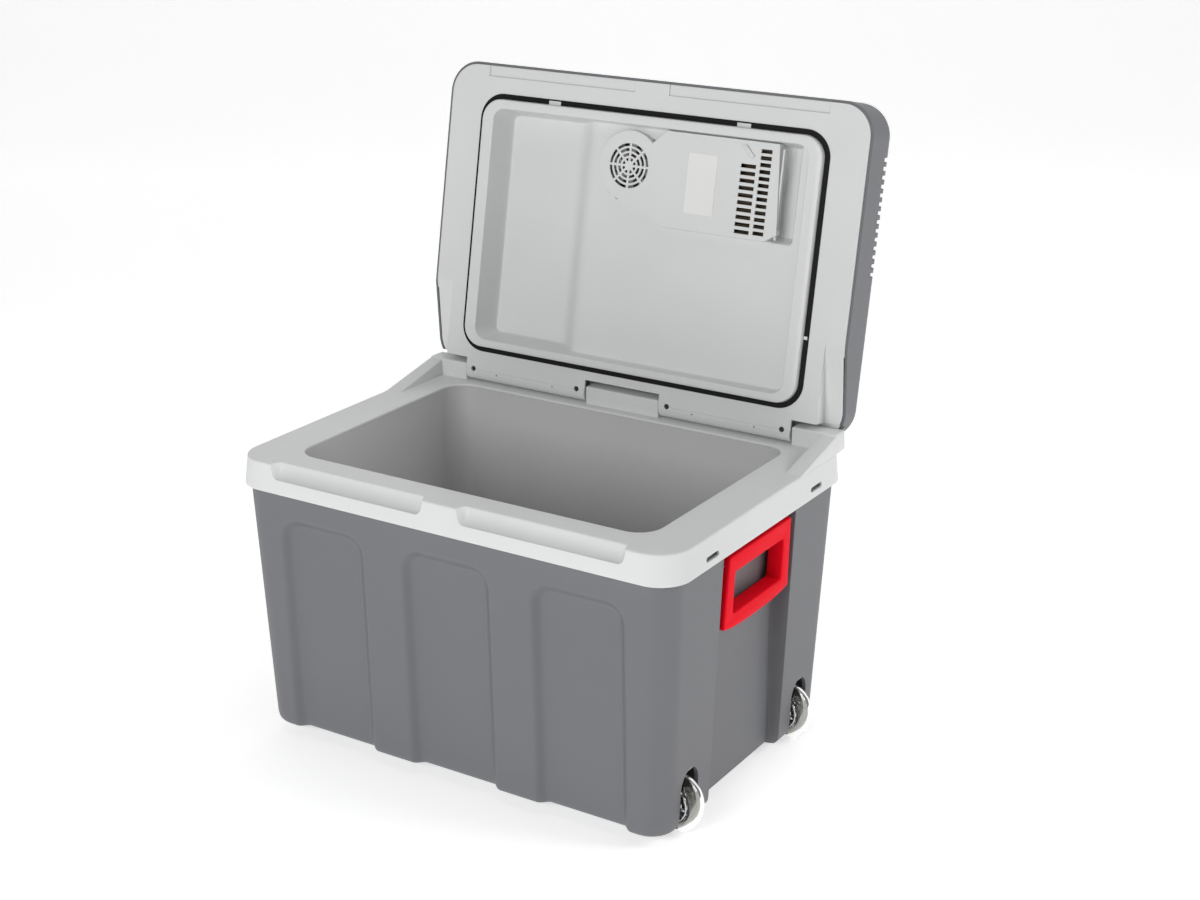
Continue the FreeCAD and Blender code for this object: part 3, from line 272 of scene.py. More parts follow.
def thicken(obj, thickness, facing):
    """Give an open skin a thickness on the side away from the one it faces."""
    toward = sum(face.area * face.normal.dot(Vector(facing)) for face in obj.data.polygons)
    if toward < 0:
        obj.data.flip_normals()
    modifier = obj.modifiers.new("wall", "SOLIDIFY")
    modifier.thickness = thickness * MM
    modifier.offset = -1.0
    apply_modifiers(obj)
    shade(obj, 40)


def loft(name, loops, material, capped=True, around=False, sharp=35.0):
    """A skin over closed loops of equal length, with caps on its ends or joined end to end."""
    count = len(loops[0])
    verts = np.concatenate(loops)
    faces = []
    rows = len(loops)
    pairs = [(row, (row + 1) % rows) for row in range(rows if around else rows - 1)]
    for low, high in pairs:
        a, b = low * count, high * count
        faces += [(a + i, a + (i + 1) % count, b + (i + 1) % count, b + i) for i in range(count)]
    if capped and not around:
        centre_low, centre_high = loops[0].mean(0), loops[-1].mean(0)
        verts = np.concatenate([verts, [centre_low, centre_high]])
        low, high, top = len(verts) - 2, len(verts) - 1, (rows - 1) * count
        faces += [(low, (i + 1) % count, i) for i in range(count)]
        faces += [(high, top + i, top + (i + 1) % count) for i in range(count)]
    return mesh_object(name, verts, faces, material, sharp)


def prism_mesh(name, outline, low, high, axis, material):
    """A straight prism of a 2-D outline along X or Y, between two places."""
    outline = np.array(outline, float)
    count = len(outline)
    ends = []
    for place in (low, high):
        column = np.full((count, 1), float(place))
        if axis == "y":
            ends.append(np.concatenate([outline[:, :1], column, outline[:, 1:]], 1))
        else:
            ends.append(np.concatenate([column, outline], 1))
    faces = [tuple(range(count)), tuple(range(2 * count - 1, count - 1, -1))]
    faces += [(i, i + count, (i + 1) % count + count, (i + 1) % count) for i in range(count)]
    return face_outwards(mesh_object(name, np.concatenate(ends), faces, material))


# ---------------------------------------------------------------- body


BASE, SHELL_TOP, DRAFT = 15.0, 338.0, math.radians(2.29)
SHELL_HALF_X, SHELL_HALF_Y, SHELL_CORNER, SHELL_ROUNDING = 280.2, 191.2, 30.0, 10.0
PANEL_PLACES, PANEL_HALF, PANEL_TOP = (-176.0, 0.0, 176.0), 62.0, 297.0
PANEL_CORNER, PANEL_DEPTH = 27.0, 9.0
BAY_EDGE, BAY_FLOOR, BAY_LIFT = 85.4, 266.5, 3.5
END_REACH, END_FIXED = 161.0, 100.0
WHEEL_X, WHEEL_Y, WHEEL_Z = 262.0, 133.8, 38.0
ARCH_RADIUS, ARCH_HALF, ARCH_END = 42.0, 19.3, 277.5


def sunk(x, z):
    """Depth of the three sunk panels of a long side."""
    depth = np.zeros_like(x)
    for middle in PANEL_PLACES:
        dx = np.maximum(np.abs(x - middle) - (PANEL_HALF - PANEL_CORNER), 0.0)
        dz = np.maximum(z - (PANEL_TOP - PANEL_CORNER), 0.0)
        past = np.where((dx > 0) & (dz > 0), np.hypot(dx, dz), np.maximum(dx, dz))
        depth = np.maximum(depth, PANEL_DEPTH * ease(PANEL_CORNER - past, -0.5, 13.0))
    return depth


def shell_loop(half_x, half_y, radius, z, xs, ys, lift):
    """One level of the outer shell, with its panels and handle bays."""
    flat = ring(half_x, half_y, radius, xs, ys)
    x, y = flat[:, 0].copy(), flat[:, 1].copy()
    long_side = np.abs(np.abs(y) - half_y) < 1e-6
    depth = sunk(x, np.full_like(x, z)) * long_side
    y -= np.sign(y) * depth
    end = np.abs(np.abs(x) - half_x) < 1e-6
    # The points beside the bay keep their places at every level, so that its walls stay straight.
    reach = half_y - radius
    steady = y / reach * END_REACH
    share = np.clip((np.abs(steady) - END_FIXED) / (END_REACH - END_FIXED), 0.0, 1.0)
    y = np.where(end, steady + np.sign(steady) * (reach - END_REACH) * share, y)
    inside_bay = (1 - ease(np.abs(y), BAY_EDGE - 0.8, BAY_EDGE + 0.8)) * end
    x = np.where(end, np.sign(x) * (half_x + (BAY_FLOOR - half_x) * inside_bay), x)
    height = z + lift * inside_bay
    return np.stack([x, y, height], 1)


def arch_cutter(middle):
    """The room for a wheel: a round well, open through the end wall by a window."""
    below, window_spring, window_rise = -5.0, 62.0, 22.0
    turns = np.linspace(math.acos((ARCH_END - WHEEL_X) / ARCH_RADIUS), math.pi, 25)
    arch = [(WHEEL_X + ARCH_RADIUS * math.cos(a), WHEEL_Z + ARCH_RADIUS * math.sin(a)) for a in turns]
    arch = [(ARCH_END, below), *arch, (WHEEL_X - ARCH_RADIUS, below)]
    left, right = middle - ARCH_HALF, middle + ARCH_HALF
    well = prism_mesh("well_cutter", arch, left, right, "y", DARK)
    window = [(left, below), (right, below)]
    window += [(middle + ARCH_HALF * math.cos(a), window_spring + window_rise * math.sin(a))
               for a in np.linspace(0, math.pi, 17)]
    combine(well, prism_mesh("window_cutter", window, 258.0, 330.0, "x", DARK), "UNION")
    return well


def make_shell():
    """The dark outer shell."""
    xs = stations(250.0, 2.6)
    ys = stations(END_REACH, 3.0, (BAY_EDGE,), 0.5, 2.5)
    loops = []
    for turn in np.linspace(0.12, 1.0, 9):
        angle = turn * math.pi / 2
        inset = SHELL_ROUNDING * (1 - math.sin(angle))
        z = BASE - 1.5 + SHELL_ROUNDING * (1 - math.cos(angle))
        half_x, half_y = SHELL_HALF_X - inset, SHELL_HALF_Y - inset
        corner = SHELL_CORNER - inset * 0.6
        loops.append(shell_loop(half_x, half_y, corner, z, xs, ys, BAY_LIFT))
    below_panel_tops, panel_tops = np.arange(26.0, 255.0, 7.0), np.arange(255.0, 305.0, 1.7)
    over_panel_tops = np.arange(305.0, SHELL_TOP + 0.1, 6.6)
    for z in (*below_panel_tops, *panel_tops, *over_panel_tops):
        grow = (z - BASE) * math.tan(DRAFT)
        lift = BAY_LIFT * (1 - ease(z, 24.0, 40.0))
        half_x, half_y = SHELL_HALF_X + grow, SHELL_HALF_Y + grow
        loops.append(shell_loop(half_x, half_y, SHELL_CORNER, z, xs, ys, lift))
    loops.append(on_height(ring(260.0, 182.0, 24.0, xs, ys), SHELL_TOP))
    loops.append(on_height(ring(256.0, 178.0, 24.0, xs, ys), 36.0))
    shell = loft("shell_skin", loops, DARK, sharp=40.0)
    for side in (-1, 1):
        combine(shell, arch_cutter(WHEEL_Y * side), "DIFFERENCE")
    shell.data.set_sharp_from_angle(angle=math.radians(40))
    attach(shell, "body")
    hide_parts("outer_shell")


# ---------------------------------------------------------------- collar


COLLAR_BASE, COLLAR_TOP, COLLAR_DRAFT = 326.8, 362.6, math.radians(4.5)
COLLAR_HALF_X, COLLAR_HALF_Y, COLLAR_CORNER, COLLAR_ROUNDING = 300.0, 210.9, 38.0, 1.8
COLLAR_WALL, COLLAR_INSIDE_Y = 3.0, 192.0
MOUTH_HALF_X, MOUTH_HALF_Y, MOUTH_CORNER = 243.4, 165.2, 31.0
SCOOP_NEAR, SCOOP_FAR, SCOOP_DEPTH = 24.0, 240.0, 12.0
SILL = 344.5
SLOT_Y, SLOT_Z, SLOT_HALF, SLOT_RADIUS = 124.0, 338.0, 11.0, 3.0
EAR_TOP, EAR_FRONT, EAR_BACK = 385.0, 178.0, 203.0


def scoop_depth(x, z):
    """Depth of the two finger scoops in the collar's front: coves that open upwards."""
    depth = np.zeros_like(x)
    for near, far in ((SCOOP_NEAR, SCOOP_FAR), (-SCOOP_FAR, -SCOOP_NEAR)):
        from_side, from_sill = np.minimum(x - near, far - x), z - SILL
        across = np.clip(from_side / 9.0, 0.0, 1.0)
        up = np.clip(from_sill / 17.0, 0.0, 1.0)
        cove = SCOOP_DEPTH * np.sqrt(np.clip(1 - ((1 - across) ** 2 + (1 - up) ** 2), 0.0, 1.0))
        depth = np.maximum(depth, np.where((from_side > 0) & (from_sill > 0), cove, 0.0))
    return depth


def collar_loop(inset, z, xs, ys, scoop_z=None):
    """One level of the collar, set in from its drafted outer face."""
    lean = (z - COLLAR_BASE) * math.tan(COLLAR_DRAFT)
    half_x, half_y = COLLAR_HALF_X - lean - inset, COLLAR_HALF_Y - lean - inset
    flat = ring(half_x, half_y, COLLAR_CORNER - inset, xs, ys, 14)
    x, y = flat[:, 0], flat[:, 1].copy()
    front = np.abs(y + half_y) < 1e-6
    level = z if scoop_z is None else scoop_z
    y = y + scoop_depth(x, np.full_like(x, level)) * front
    return np.stack([x, y, np.full_like(x, float(z))], 1)


def mouth_loop(inset, drop, xs, ys):
    """One level of the collar's mouth, set in and down from its top edge."""
    flat = ring(MOUTH_HALF_X - inset, MOUTH_HALF_Y - inset, MOUTH_CORNER - inset, xs, ys, 14)
    return on_height(flat, COLLAR_TOP - drop)


def collar_loops():
    """The collar's levels: up the outer face, in over the top, down the mouth and back inside."""
    xs = stations(COLLAR_HALF_X - COLLAR_CORNER, 4.0, (SCOOP_NEAR, SCOOP_FAR), 0.8, 10.0)
    ys = stations(COLLAR_HALF_Y - COLLAR_CORNER, 8.0)
    loops = [collar_loop(COLLAR_WALL, COLLAR_BASE + 1.2, xs, ys),
             collar_loop(COLLAR_WALL, COLLAR_BASE, xs, ys),
             collar_loop(0.8, COLLAR_BASE, xs, ys),
             collar_loop(0.2, COLLAR_BASE + 0.3, xs, ys)]
    heights = [*np.arange(COLLAR_BASE + 1.0, SILL, 3.5)]
    heights += [SILL + rise for rise in (0.0, 0.08, 0.3, 0.7, 1.3, 2.2, 3.4)]
    heights += [*np.arange(SILL + 5.0, COLLAR_TOP - 1.6, 2.0)]
    loops += [collar_loop(0.0, z, xs, ys) for z in heights]
    for turn in np.linspace(0.0, 1.0, 5):
        angle = turn * math.pi / 2
        inset = COLLAR_ROUNDING * (1 - math.cos(angle))
        z = COLLAR_TOP - COLLAR_ROUNDING + COLLAR_ROUNDING * math.sin(angle)
        loops.append(collar_loop(inset, z, xs, ys, scoop_z=COLLAR_TOP))
    edge = collar_loop(COLLAR_ROUNDING, COLLAR_TOP, xs, ys, scoop_z=COLLAR_TOP)
    shelf = collar_loop(16.0, COLLAR_TOP, xs, ys, scoop_z=0.0)
    for start, end in ((edge, shelf), (shelf, mouth_loop(0.0, 0.0, xs, ys))):
        loops += [start + (end - start) * share for share in (0.25, 0.5, 0.75, 1.0)]
    for inset, drop in ((0.5, 0.1), (0.85, 0.45), (1.0, 1.0), (1.0, 2.9)):
        loops.append(mouth_loop(inset, drop, xs, ys))
    loops.append(on_height(ring(252.0, 173.0, 34.0, xs, ys, 14), COLLAR_TOP - COLLAR_WALL))
    for z in (COLLAR_TOP - COLLAR_WALL, 355.0, 350.0, 346.0):
        level = collar_loop(COLLAR_WALL, z, xs, ys)
        level[:, 1] = np.maximum(level[:, 1], -COLLAR_INSIDE_Y)
        loops.append(level)
    loops.append(collar_loop(COLLAR_WALL, 342.0, xs, ys))
    return loops


def slot_cutter(end, side):
    """The room for a small slot in the collar's end wall."""
    outline = [(SLOT_Y * side + SLOT_HALF * way + SLOT_RADIUS * math.cos(angle),
                SLOT_Z + SLOT_RADIUS * math.sin(angle))
               for way in (1, -1)
               for angle in np.linspace(-math.pi / 2 * way, math.pi - math.pi / 2 * way, 7)]
    low, high = sorted((end * (COLLAR_HALF_X - 10.0), end * (COLLAR_HALF_X + 10.0)))
    return prism_mesh("slot_cutter", outline, low, high, "x", LIGHT)


def make_collar():
    """The light collar: wall, flat top and mouth, with its scoops, slots, ears and ramps."""
    collar = loft("collar_skin", collar_loops(), LIGHT, around=True, sharp=38.0)
    for end in (-1, 1):
        for side in (-1, 1):
            combine(collar, slot_cutter(end, side), "DIFFERENCE")
    collar.data.set_sharp_from_angle(angle=math.radians(38))
    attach(collar, "body")

    raised = [make_raised("collar_ear_left", -297.0, -237.5),
              make_raised("collar_block", -53.0, 53.0),
              make_raised("collar_ear_right", 237.5, 297.0),
              make_ramp("collar_ramp_left", -1),
              make_ramp("collar_ramp_right", 1)]
    for piece in raised:
        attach(piece, "body")
    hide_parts("collar")


def outer_x(z):
    """Distance of the collar's drafted end face from the middle at a height."""
    return COLLAR_HALF_X - (z - COLLAR_BASE) * math.tan(COLLAR_DRAFT)


def make_raised(name, left, right):
    """A hinge ear or the middle block on the collar's top."""
    verts = []
    for z, back in ((COLLAR_TOP - 2.0, EAR_BACK + 0.6), (EAR_TOP, EAR_BACK)):
        x0, x1 = max(left, -outer_x(z)), min(right, outer_x(z))
        verts += [(x0, EAR_FRONT, z), (x1, EAR_FRONT, z), (x1, back, z), (x0, back, z)]
    faces = [(3, 2, 1, 0), (4, 5, 6, 7), (0, 1, 5, 4), (1, 2, 6, 5), (2, 3, 7, 6), (3, 0, 4, 7)]
    return soften_edges(mesh_object(name, verts, faces, LIGHT), 2.0)


def make_ramp(name, side):
    """The rise of the collar beside the lid, from its flat top up to the ear."""
    rise_from, rise = 85.0, 20.4
    rows = []
    for y in np.linspace(78.0, EAR_FRONT + 2.0, 18):
        z = COLLAR_TOP - 0.4 + rise * max(0.0, (y - rise_from) / (EAR_FRONT - rise_from))
        base = COLLAR_TOP - 1.0
        rows.append([(275.9, y, base), (276.5, y, z), (outer_x(z), y, z), (outer_x(base), y, base)])
    verts, faces = [], []
    for row in rows:
        verts += [(side * x, y, z) for x, y, z in row]
    for i in range(len(rows) - 1):
        for j in range(4):
            a, b = 4 * i + j, 4 * i + (j + 1) % 4
            quad = (a, b, b + 4, a + 4)
            faces.append(quad if side > 0 else quad[::-1])
    ends = [(3, 2, 1, 0), tuple(4 * (len(rows) - 1) + k for k in range(4))]
    faces += ends if side > 0 else [end[::-1] for end in ends]
    return soften_edges(mesh_object(name, verts, faces, LIGHT), 1.5)


# ---------------------------------------------------------------- handles


PIVOT_X, PIVOT_Z = 283.0, 305.5
HANDLE_THICKNESS, HANDLE_ROUNDING = 20.0, 1.8


def make_handle(end, side):
    """A red handle: a frame with rounded edges, parallel to the drafted end wall."""
    outer = [(-73.5, 317.0), (-77.2, 230.0), (-60.0, 226.8), (-40.0, 225.0), (-20.0, 224.2)]
    outer += [(0.0, 224.0), *((-y, z) for y, z in outer[::-1])]
    inner = [(-58.0, 295.0), (-58.0, 244.0), (58.0, 244.0), (58.0, 295.0)]
    curve = bpy.data.curves.new(f"handle_{end}_outline", "CURVE")
    curve.dimensions = "2D"
    curve.fill_mode = "BOTH"
    for outline, radius in ((outer, 3.0), (inner, 4.5)):
        points = rounded_corners(outline, radius)
        spline = curve.splines.new("POLY")
        spline.points.add(len(points) - 1)
        for point, (y, z) in zip(spline.points, points):
            point.co = (y * MM, (z - PIVOT_Z) * MM, 0, 1)
        spline.use_cyclic_u = True
    curve.extrude = (HANDLE_THICKNESS / 2 - HANDLE_ROUNDING) * MM
    curve.bevel_depth = HANDLE_ROUNDING * MM
    curve.bevel_resolution = 3
    curve.offset = -HANDLE_ROUNDING * MM
    holder = bpy.data.objects.new(f"handle_{end}_holder", curve)
    bpy.context.scene.collection.objects.link(holder)
    bpy.context.view_layer.update()
    mesh = bpy.data.meshes.new_from_object(holder.evaluated_get(bpy.context.evaluated_depsgraph_get()))
    bpy.data.objects.remove(holder)
    upright = Matrix(((0, 0, 1, 0), (1, 0, 0, 0), (0, 1, 0, 0), (0, 0, 0, 1)))
    lean = Matrix.Rotation(DRAFT, 4, "Y")
    turn = Matrix.Rotation(0 if side > 0 else math.pi, 4, "Z")
    place = Matrix.Translation((side * PIVOT_X * MM, 0, PIVOT_Z * MM))
    mesh.transform(place @ turn @ lean @ upright)
    handle = bpy.data.objects.new(f"handle_{end}_skin", mesh)
    bpy.context.scene.collection.objects.link(handle)
    face_outwards(handle, weld=0.01)
    shade(handle, 50)
    paint(handle, RED)
    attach(handle, f"handle_{end}")
    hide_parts(f"handle_{end}")


def rounded_corners(points, radius, steps=5):
    """An outline with each corner replaced by a curve where there is room for one."""
    straight_enough = 0.2
    result = []
    count = len(points)
    for index in range(count):
        here = np.array(points[index], float)
        before = np.array(points[index - 1], float) - here
        after = np.array(points[(index + 1) % count], float) - here
        reach_a, reach_b = np.linalg.norm(before), np.linalg.norm(after)
        before, after = before / reach_a, after / reach_b
        turn = math.pi - math.acos(float(np.clip(before @ after, -1, 1)))
        cut_back = min(radius * math.tan(turn / 2), 0.45 * reach_a, 0.45 * reach_b)
        if turn < straight_enough:
            result.append(tuple(here))
            continue
        start, end = here + before * cut_back, here + after * cut_back
        for u in np.linspace(0, 1, steps + 1):
            result.append(tuple((1 - u) ** 2 * start + 2 * u * (1 - u) * here + u * u * end))
    return result


# ---------------------------------------------------------------- wheels


TREAD_ARC, TREAD_RADIUS, TREAD_MIDDLE, TREAD_HALF = 1.25, 12.2, 25.8, 12.0
SPOKES, LOBES, LOBE_DEPTH = 6, 14, 0.8


def revolve(name, profile, centre, material, steps=72, lobes=0):
    """A ring made by turning a profile of (distance, offset) points about a line along Y."""
    middle = np.array(centre)
    outermost = max(distance for distance, _ in profile)
    loops = []
    for angle in np.linspace(0, 2 * math.pi, steps, endpoint=False):
        dip = LOBE_DEPTH * (1 - math.cos(lobes * angle))
        loop = []
        for distance, offset in profile:
            reach = distance - dip if distance == outermost else distance
            loop.append(middle + (reach * math.cos(angle), offset, reach * math.sin(angle)))
        loops.append(np.array(loop))
    return loft(name, loops, material, around=True, sharp=30.0)


def make_spoke(name, centre, angle):
    """A tapered bar from the hub's core to its rim."""
    direction = np.array([math.cos(angle), 0, math.sin(angle)])
    across = np.array([-math.sin(angle), 0, math.cos(angle)])
    verts = []
    for distance, half in ((13.2, 3.2), (21.4, 2.2)):
        for offset in (-8.5, 8.5):
            for side in (-1, 1):
                place = np.array(centre) + direction * distance + across * half * side
                verts.append(place + (0, offset, 0))
    faces = [(0, 1, 3, 2), (4, 6, 7, 5), (0, 2, 6, 4), (1, 5, 7, 3), (0, 4, 5, 1), (2, 3, 7, 6)]
    return soften_edges(face_outwards(mesh_object(name, verts, faces, HUB)), 0.8, 2)


def make_wheel(end, side):
    """A skate-type wheel: a see-through tread on a bright hub with spokes."""
    centre = (WHEEL_X, WHEEL_Y * side, WHEEL_Z)
    crown = [(24.5, 11.0), (27.0, TREAD_HALF)]
    for angle in np.linspace(TREAD_ARC, -TREAD_ARC, 21):
        offset = TREAD_HALF * math.sin(angle) / math.sin(TREAD_ARC)
        crown.append((TREAD_MIDDLE + TREAD_RADIUS * math.cos(angle), offset))
    crown += [(27.0, -TREAD_HALF), (24.5, -11.0)]
    tread = revolve(f"tread_{end}", crown, centre, TREAD)
    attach(tread, f"wheel_{end}")
    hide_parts(f"wheel_tyre_{end}")

    rim = [(22.8, -11.2), (24.4, -7.5), (24.4, -4.0), (22.6, 0.0)]
    rim += [(24.4, 4.0), (24.4, 7.5), (22.8, 11.2)]
    rim += [(21.4, 11.6), (20.4, 8.0), (20.4, -8.0), (21.4, -11.6)]
    hub_ring = revolve(f"hub_rim_{end}", rim, centre, HUB, steps=12 * LOBES, lobes=LOBES)
    core = [(14.0, -10.5), (14.0, 10.5), (12.6, 11.8), (11.0, 11.8), (11.0, -11.8), (12.6, -11.8)]
    hub_core = revolve(f"hub_core_{end}", core, centre, HUB)
    spokes = [make_spoke(f"hub_spoke_{end}_{index}", centre, 2 * math.pi * index / SPOKES)
              for index in range(SPOKES)]
    for piece in (hub_ring, hub_core, *spokes):
        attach(piece, f"wheel_{end}")
    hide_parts(f"wheel_hub_{end}")


# ---------------------------------------------------------------- lid
# Places on the lid are (across, distance from the hinge, height over the rim) of the closed lid.


def on_lid(points):
    """Places on the closed lid, moved to the open lid."""
    across, along, height = np.asarray(points, float).T
    back, rise = -along, height - HINGE_OVER_RIM
    y = HINGE_Y + back * math.cos(OPEN_ANGLE) + rise * math.sin(OPEN_ANGLE)
    z = HINGE_Z - back * math.sin(OPEN_ANGLE) + rise * math.cos(OPEN_ANGLE)
    return np.stack([across, y, z], 1)


TRAY_HALF, TRAY_MIDDLE, TRAY_REACH, TRAY_CORNER = 223.0, 191.5, 148.0, 16.0
PLUG_HALF, PLUG_MIDDLE, PLUG_REACH, PLUG_CORNER = 239.8, 192.1, 158.4, 26.3
FACE, DEEP_FLOOR, SHALLOW_RISE = -8.0, 31.0, 25.0
WALL_SLOPE, FILLET = math.radians(10.0), 9.0
LAST_INSET = 15.99


def tray_floor(x, t):
    """Depth of the hollow's floor: a deep end, a shallow end and the room behind the duct."""
    depth = DEEP_FLOOR - SHALLOW_RISE * ease(x, -114.0, -76.0)
    outlet = ease(x, 174.0, 181.0) * (1 - ease(x, 201.0, 208.0)) * ease(t, 219.0, 227.0)
    depth = depth + 17.0 * outlet
    fan_x, fan_t, fan_reach, fan_floor = -20.0, 288.6, 41.0, 16.2
    near_fan = np.hypot(x - fan_x, t - fan_t) < fan_reach
    depth = np.where(near_fan, np.maximum(depth, fan_floor), depth)
    slots_x, slots_t, slots_floor = 150.0, 277.0, 13.4
    behind_slots = (np.abs(x - slots_x) < 23.0) & (np.abs(t - slots_t) < 52.0)
    return np.where(behind_slots, np.maximum(depth, slots_floor), depth)


def tray_height(x, t, inset):
    """Height of the hollow's surface at a distance from its edge: wall, fillet and floor."""
    wall = FACE - 0.6 + np.maximum(inset, 0.0) / math.tan(WALL_SLOPE)
    floor = tray_floor(x, t)
    blend = np.clip(0.5 + 0.5 * (floor - wall) / FILLET, 0.0, 1.0)
    low = floor + (wall - floor) * blend - FILLET * blend * (1 - blend)
    return np.maximum(low, FACE)


def tray_ring(half, reach, radius, height, xs, ys):
    """A rounded rectangle about the middle of the lid's hollow, as places on the lid."""
    flat = ring(half, reach, radius, xs, ys, 10)
    return np.stack([flat[:, 0], TRAY_MIDDLE + flat[:, 1], np.full(len(flat), float(height))], 1)


def plug_loops(xs, ys):
    """The liner's flange and plug, down to its flat face and in to the hollow's edge."""
    loops = []
    levels = ((-1.5, 3.4), (0.0, 3.2), (0.0, 0.0), (0.0, FACE + 1.6), (0.5, FACE + 0.5), (1.6, FACE))
    for inset, height in levels:
        loop = tray_ring(PLUG_HALF - inset, PLUG_REACH - inset, PLUG_CORNER - inset, height, xs, ys)
        loop[:, 1] += PLUG_MIDDLE - TRAY_MIDDLE
        loops.append(loop)
    edge = tray_ring(TRAY_HALF + 0.8, TRAY_REACH + 0.8, TRAY_CORNER + 0.8, FACE, xs, ys)
    rim = loops[-1]
    return loops + [rim + (edge - rim) * share for share in (0.35, 0.7, 1.0)]


def hollow_loops(xs, ys):
    """The hollow's rounded lip, its wall and the outer part of its floor."""
    loops = []
    wall, fillet = np.arange(0.6, 7.5, 0.5), np.arange(8.0, 15.9, 1.0)
    for inset in (-0.4, 0.0, 0.15, 0.3, *wall, *fillet, LAST_INSET):
        loop = tray_ring(TRAY_HALF - inset, TRAY_REACH - inset, TRAY_CORNER - inset, FACE, xs, ys)
        if inset > 0.0:
            loop[:, 2] = tray_height(loop[:, 0], loop[:, 1], inset)
        elif inset == 0.0:
            loop[:, 2] = FACE + 0.15
        loops.append(loop)
    return loops


def make_liner_floor(xs, ys):
    """The middle of the hollow's floor, as a grid that meets the last loop of its wall."""
    half, reach = TRAY_HALF - LAST_INSET, TRAY_REACH - LAST_INSET
    columns = xs * (TRAY_HALF - TRAY_CORNER)
    rows = TRAY_MIDDLE + ys / ys[-1] * (TRAY_REACH - TRAY_CORNER)
    columns[0], columns[-1] = -half, half
    rows[0], rows[-1] = TRAY_MIDDLE - reach, TRAY_MIDDLE + reach
    grid_x, grid_t = (grid.ravel() for grid in np.meshgrid(columns, rows))
    points = np.stack([grid_x, grid_t, tray_height(grid_x, grid_t, LAST_INSET)], 1)
    wide = len(columns)
    corners = [j * wide + i for j in range(len(rows) - 1) for i in range(wide - 1)]
    faces = [(a, a + wide, a + wide + 1, a + 1) for a in corners]
    return mesh_object("liner_floor", on_lid(points), faces, LIGHT, 40.0)


def make_liner():
    """The lid's liner: plug, flat face, soft hollow and the tabs that hold the seal."""
    xs = stations(TRAY_HALF - TRAY_CORNER, 5.0, (95.0, 177.5, 204.5), 1.3, 9.0)
    ys = stations(TRAY_REACH - TRAY_CORNER, 6.0, (31.5,), 1.2, 5.0)
    loops = [on_lid(loop) for loop in plug_loops(xs, ys) + hollow_loops(xs, ys)]
    liner = loft("liner_skin", loops, LIGHT, capped=False, sharp=40.0)
    face_outwards(liner, added=[make_liner_floor(xs, ys)], weld=0.04)
    thicken(liner, 2.0, (0, -1, 0))
    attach(liner, "lid")
    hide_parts("lid_liner")

    rear_edge, front_edge = (113.0, 117.5), (350.6, 356.0)
    tabs = (((-146.0, -128.0), front_edge), ((121.0, 140.0), front_edge), ((239.8, 245.0), rear_edge))
    for index, (across, along) in enumerate(tabs, start=1):
        lid_piece(f"seal_tab_{index}", across, along, (-0.58, 2.5), 0.5)


def lid_piece(name, across, along, heights, width):
    """A small light block on the lid with softened edges."""
    corners = [(across[i], along[j], heights[k]) for k in (0, 1) for j in (0, 1) for i in (0, 1)]
    faces = [(0, 1, 3, 2), (4, 6, 7, 5), (0, 4, 5, 1), (2, 3, 7, 6), (0, 2, 6, 4), (1, 5, 7, 3)]
    piece = face_outwards(mesh_object(name, on_lid(corners), faces, LIGHT))
    soften_edges(piece, width)
    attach(piece, "lid")


def make_duct_details():
    """The louvre bar at the outlet and the small raised wedge on the duct's face."""
    lid_piece("outlet_bar", (185.5, 188.0), (223.5, 331.0), (-0.5, 3.5), 0.6)
    thin, thick = -3.2, -5.6
    outline = [(131.5, 330.0), (139.5, 331.0), (151.0, 318.5), (146.5, 314.5)]
    low = [(x, t, -2.8) for x, t in outline]
    high = [(x, t, height) for (x, t), height in zip(outline, (thin, thick, thick, thin))]
    faces = [(3, 2, 1, 0), (4, 5, 6, 7)]
    faces += [(i, (i + 1) % 4, 4 + (i + 1) % 4, 4 + i) for i in range(4)]
    wedge = face_outwards(mesh_object("duct_wedge", on_lid(low + high), faces, LIGHT))
    soften_edges(wedge, 0.6)
    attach(wedge, "lid")


make_shell()
make_collar()
make_liner()
make_duct_details()
for end, side in (("left", -1), ("right", 1)):
    make_handle(end, side)
for end, side in (("front", -1), ("back", 1)):
    make_wheel(end, side)


# ---------------------------------------------------------------- stage
# Places and sizes of the stage are in metres, and powers in watts.


YAW, PITCH, ROLL = (math.radians(angle) for angle in (31.87, 19.69, 0.27))
CAMERA_PLACE, LENS, SENSOR = (1.26176, -1.90153, 1.18014), 61.43, 36
FLOOR_HALF, FLOOR_FRONT = 9.0, -6.0
CURVE_START, CURVE_RADIUS, BACKDROP_TOP = 3.2, 1.5, 6.0


def area_light(name, place, target, size, power):
    """A rectangular lamp that looks at a place."""
    lamp = bpy.data.lights.new(name, "AREA")
    lamp.shape = "RECTANGLE"
    lamp.size, lamp.size_y = size
    lamp.energy = power
    obj = bpy.data.objects.new(name, lamp)
    bpy.context.scene.collection.objects.link(obj)
    obj.location = place
    obj.rotation_euler = (Vector(target) - Vector(place)).to_track_quat("-Z", "Y").to_euler()


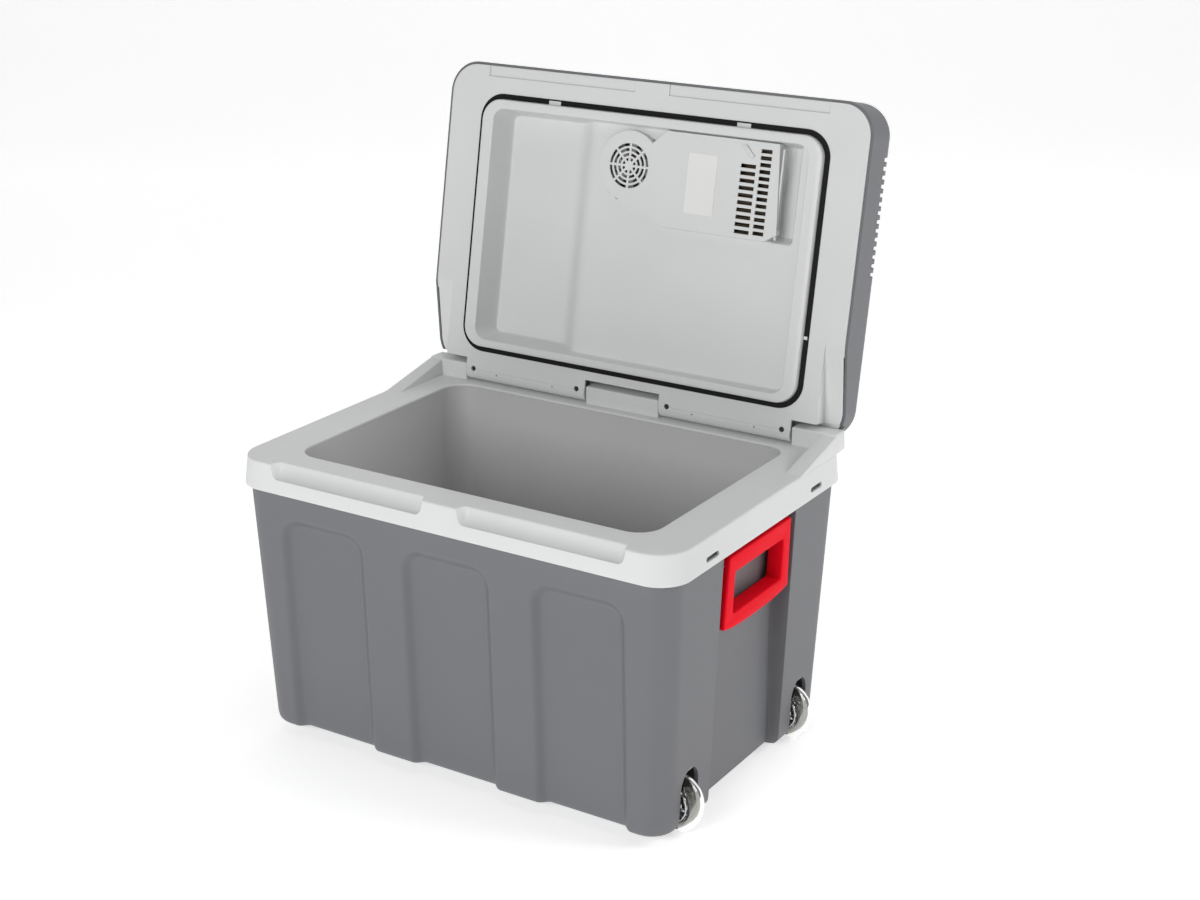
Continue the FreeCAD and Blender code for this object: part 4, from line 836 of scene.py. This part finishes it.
def make_floor():
    """A pale floor that curves up into a backdrop."""
    rows = []
    for angle in range(0, 91, 6):
        turn = math.radians(angle)
        rows.append((CURVE_START + CURVE_RADIUS * math.sin(turn),
                     CURVE_RADIUS - CURVE_RADIUS * math.cos(turn)))
    profile = [(FLOOR_FRONT, 0.0), *rows, (CURVE_START + CURVE_RADIUS, BACKDROP_TOP)]
    turn = Matrix.Rotation(YAW, 4, "Z")
    verts = []
    for x in (-FLOOR_HALF, FLOOR_HALF):
        verts += [turn @ Vector((x, y, z)) for y, z in profile]
    count = len(profile)
    faces = [(i, i + count, i + count + 1, i + 1) for i in range(count - 1)]
    mesh = bpy.data.meshes.new("studio_floor")
    mesh.from_pydata([tuple(v) for v in verts], [], faces)
    mesh.polygons.foreach_set("use_smooth", [True] * len(faces))
    floor = bpy.data.objects.new("studio_floor", mesh)
    bpy.context.scene.collection.objects.link(floor)
    material = plastic("studio_floor", (0.9, 0.9, 0.9), 0.8, 0.02, 50.0, 0.5, 0.1, 0.005)
    shader = material.node_tree.nodes["Principled BSDF"]
    shader.inputs["Emission Color"].default_value = (1, 1, 1, 1)
    shader.inputs["Emission Strength"].default_value = 0.5
    paint(floor, material)


def make_camera():
    """The camera, turned about the part and tilted down at it."""
    level = math.cos(PITCH)
    back = Vector((math.sin(YAW) * level, -math.cos(YAW) * level, math.sin(PITCH)))
    right = Vector((math.cos(YAW), math.sin(YAW), 0))
    up = back.cross(right)
    across = math.cos(ROLL) * right + math.sin(ROLL) * up
    upright = -math.sin(ROLL) * right + math.cos(ROLL) * up
    data = bpy.data.cameras.new("camera")
    data.lens = LENS
    data.sensor_width = SENSOR
    data.clip_end = 50
    camera = bpy.data.objects.new("camera", data)
    bpy.context.scene.collection.objects.link(camera)
    turn = Matrix((across, upright, back)).transposed().to_4x4()
    camera.matrix_world = Matrix.Translation(CAMERA_PLACE) @ turn
    bpy.context.scene.camera = camera


def make_world(strength):
    """An even white light from all sides."""
    world = bpy.data.worlds.new("studio")
    bpy.context.scene.world = world
    world.use_nodes = True
    background = world.node_tree.nodes["Background"]
    background.inputs["Color"].default_value = (1, 1, 1, 1)
    background.inputs["Strength"].default_value = strength


make_floor()
make_camera()
area_light("key", (0.1, -3.15, 1.4), (0, 0, 0.35), (1.8, 1.4), 55)
area_light("side", (3.0, 1.0, 2.0), (0, 0, 0.3), (1.4, 1.4), 45)
area_light("top", (0.2, 0.0, 3.2), (0, 0, 0), (2.0, 2.0), 14)
make_world(0.15)
bpy.context.scene.view_settings.view_transform = "Standard"
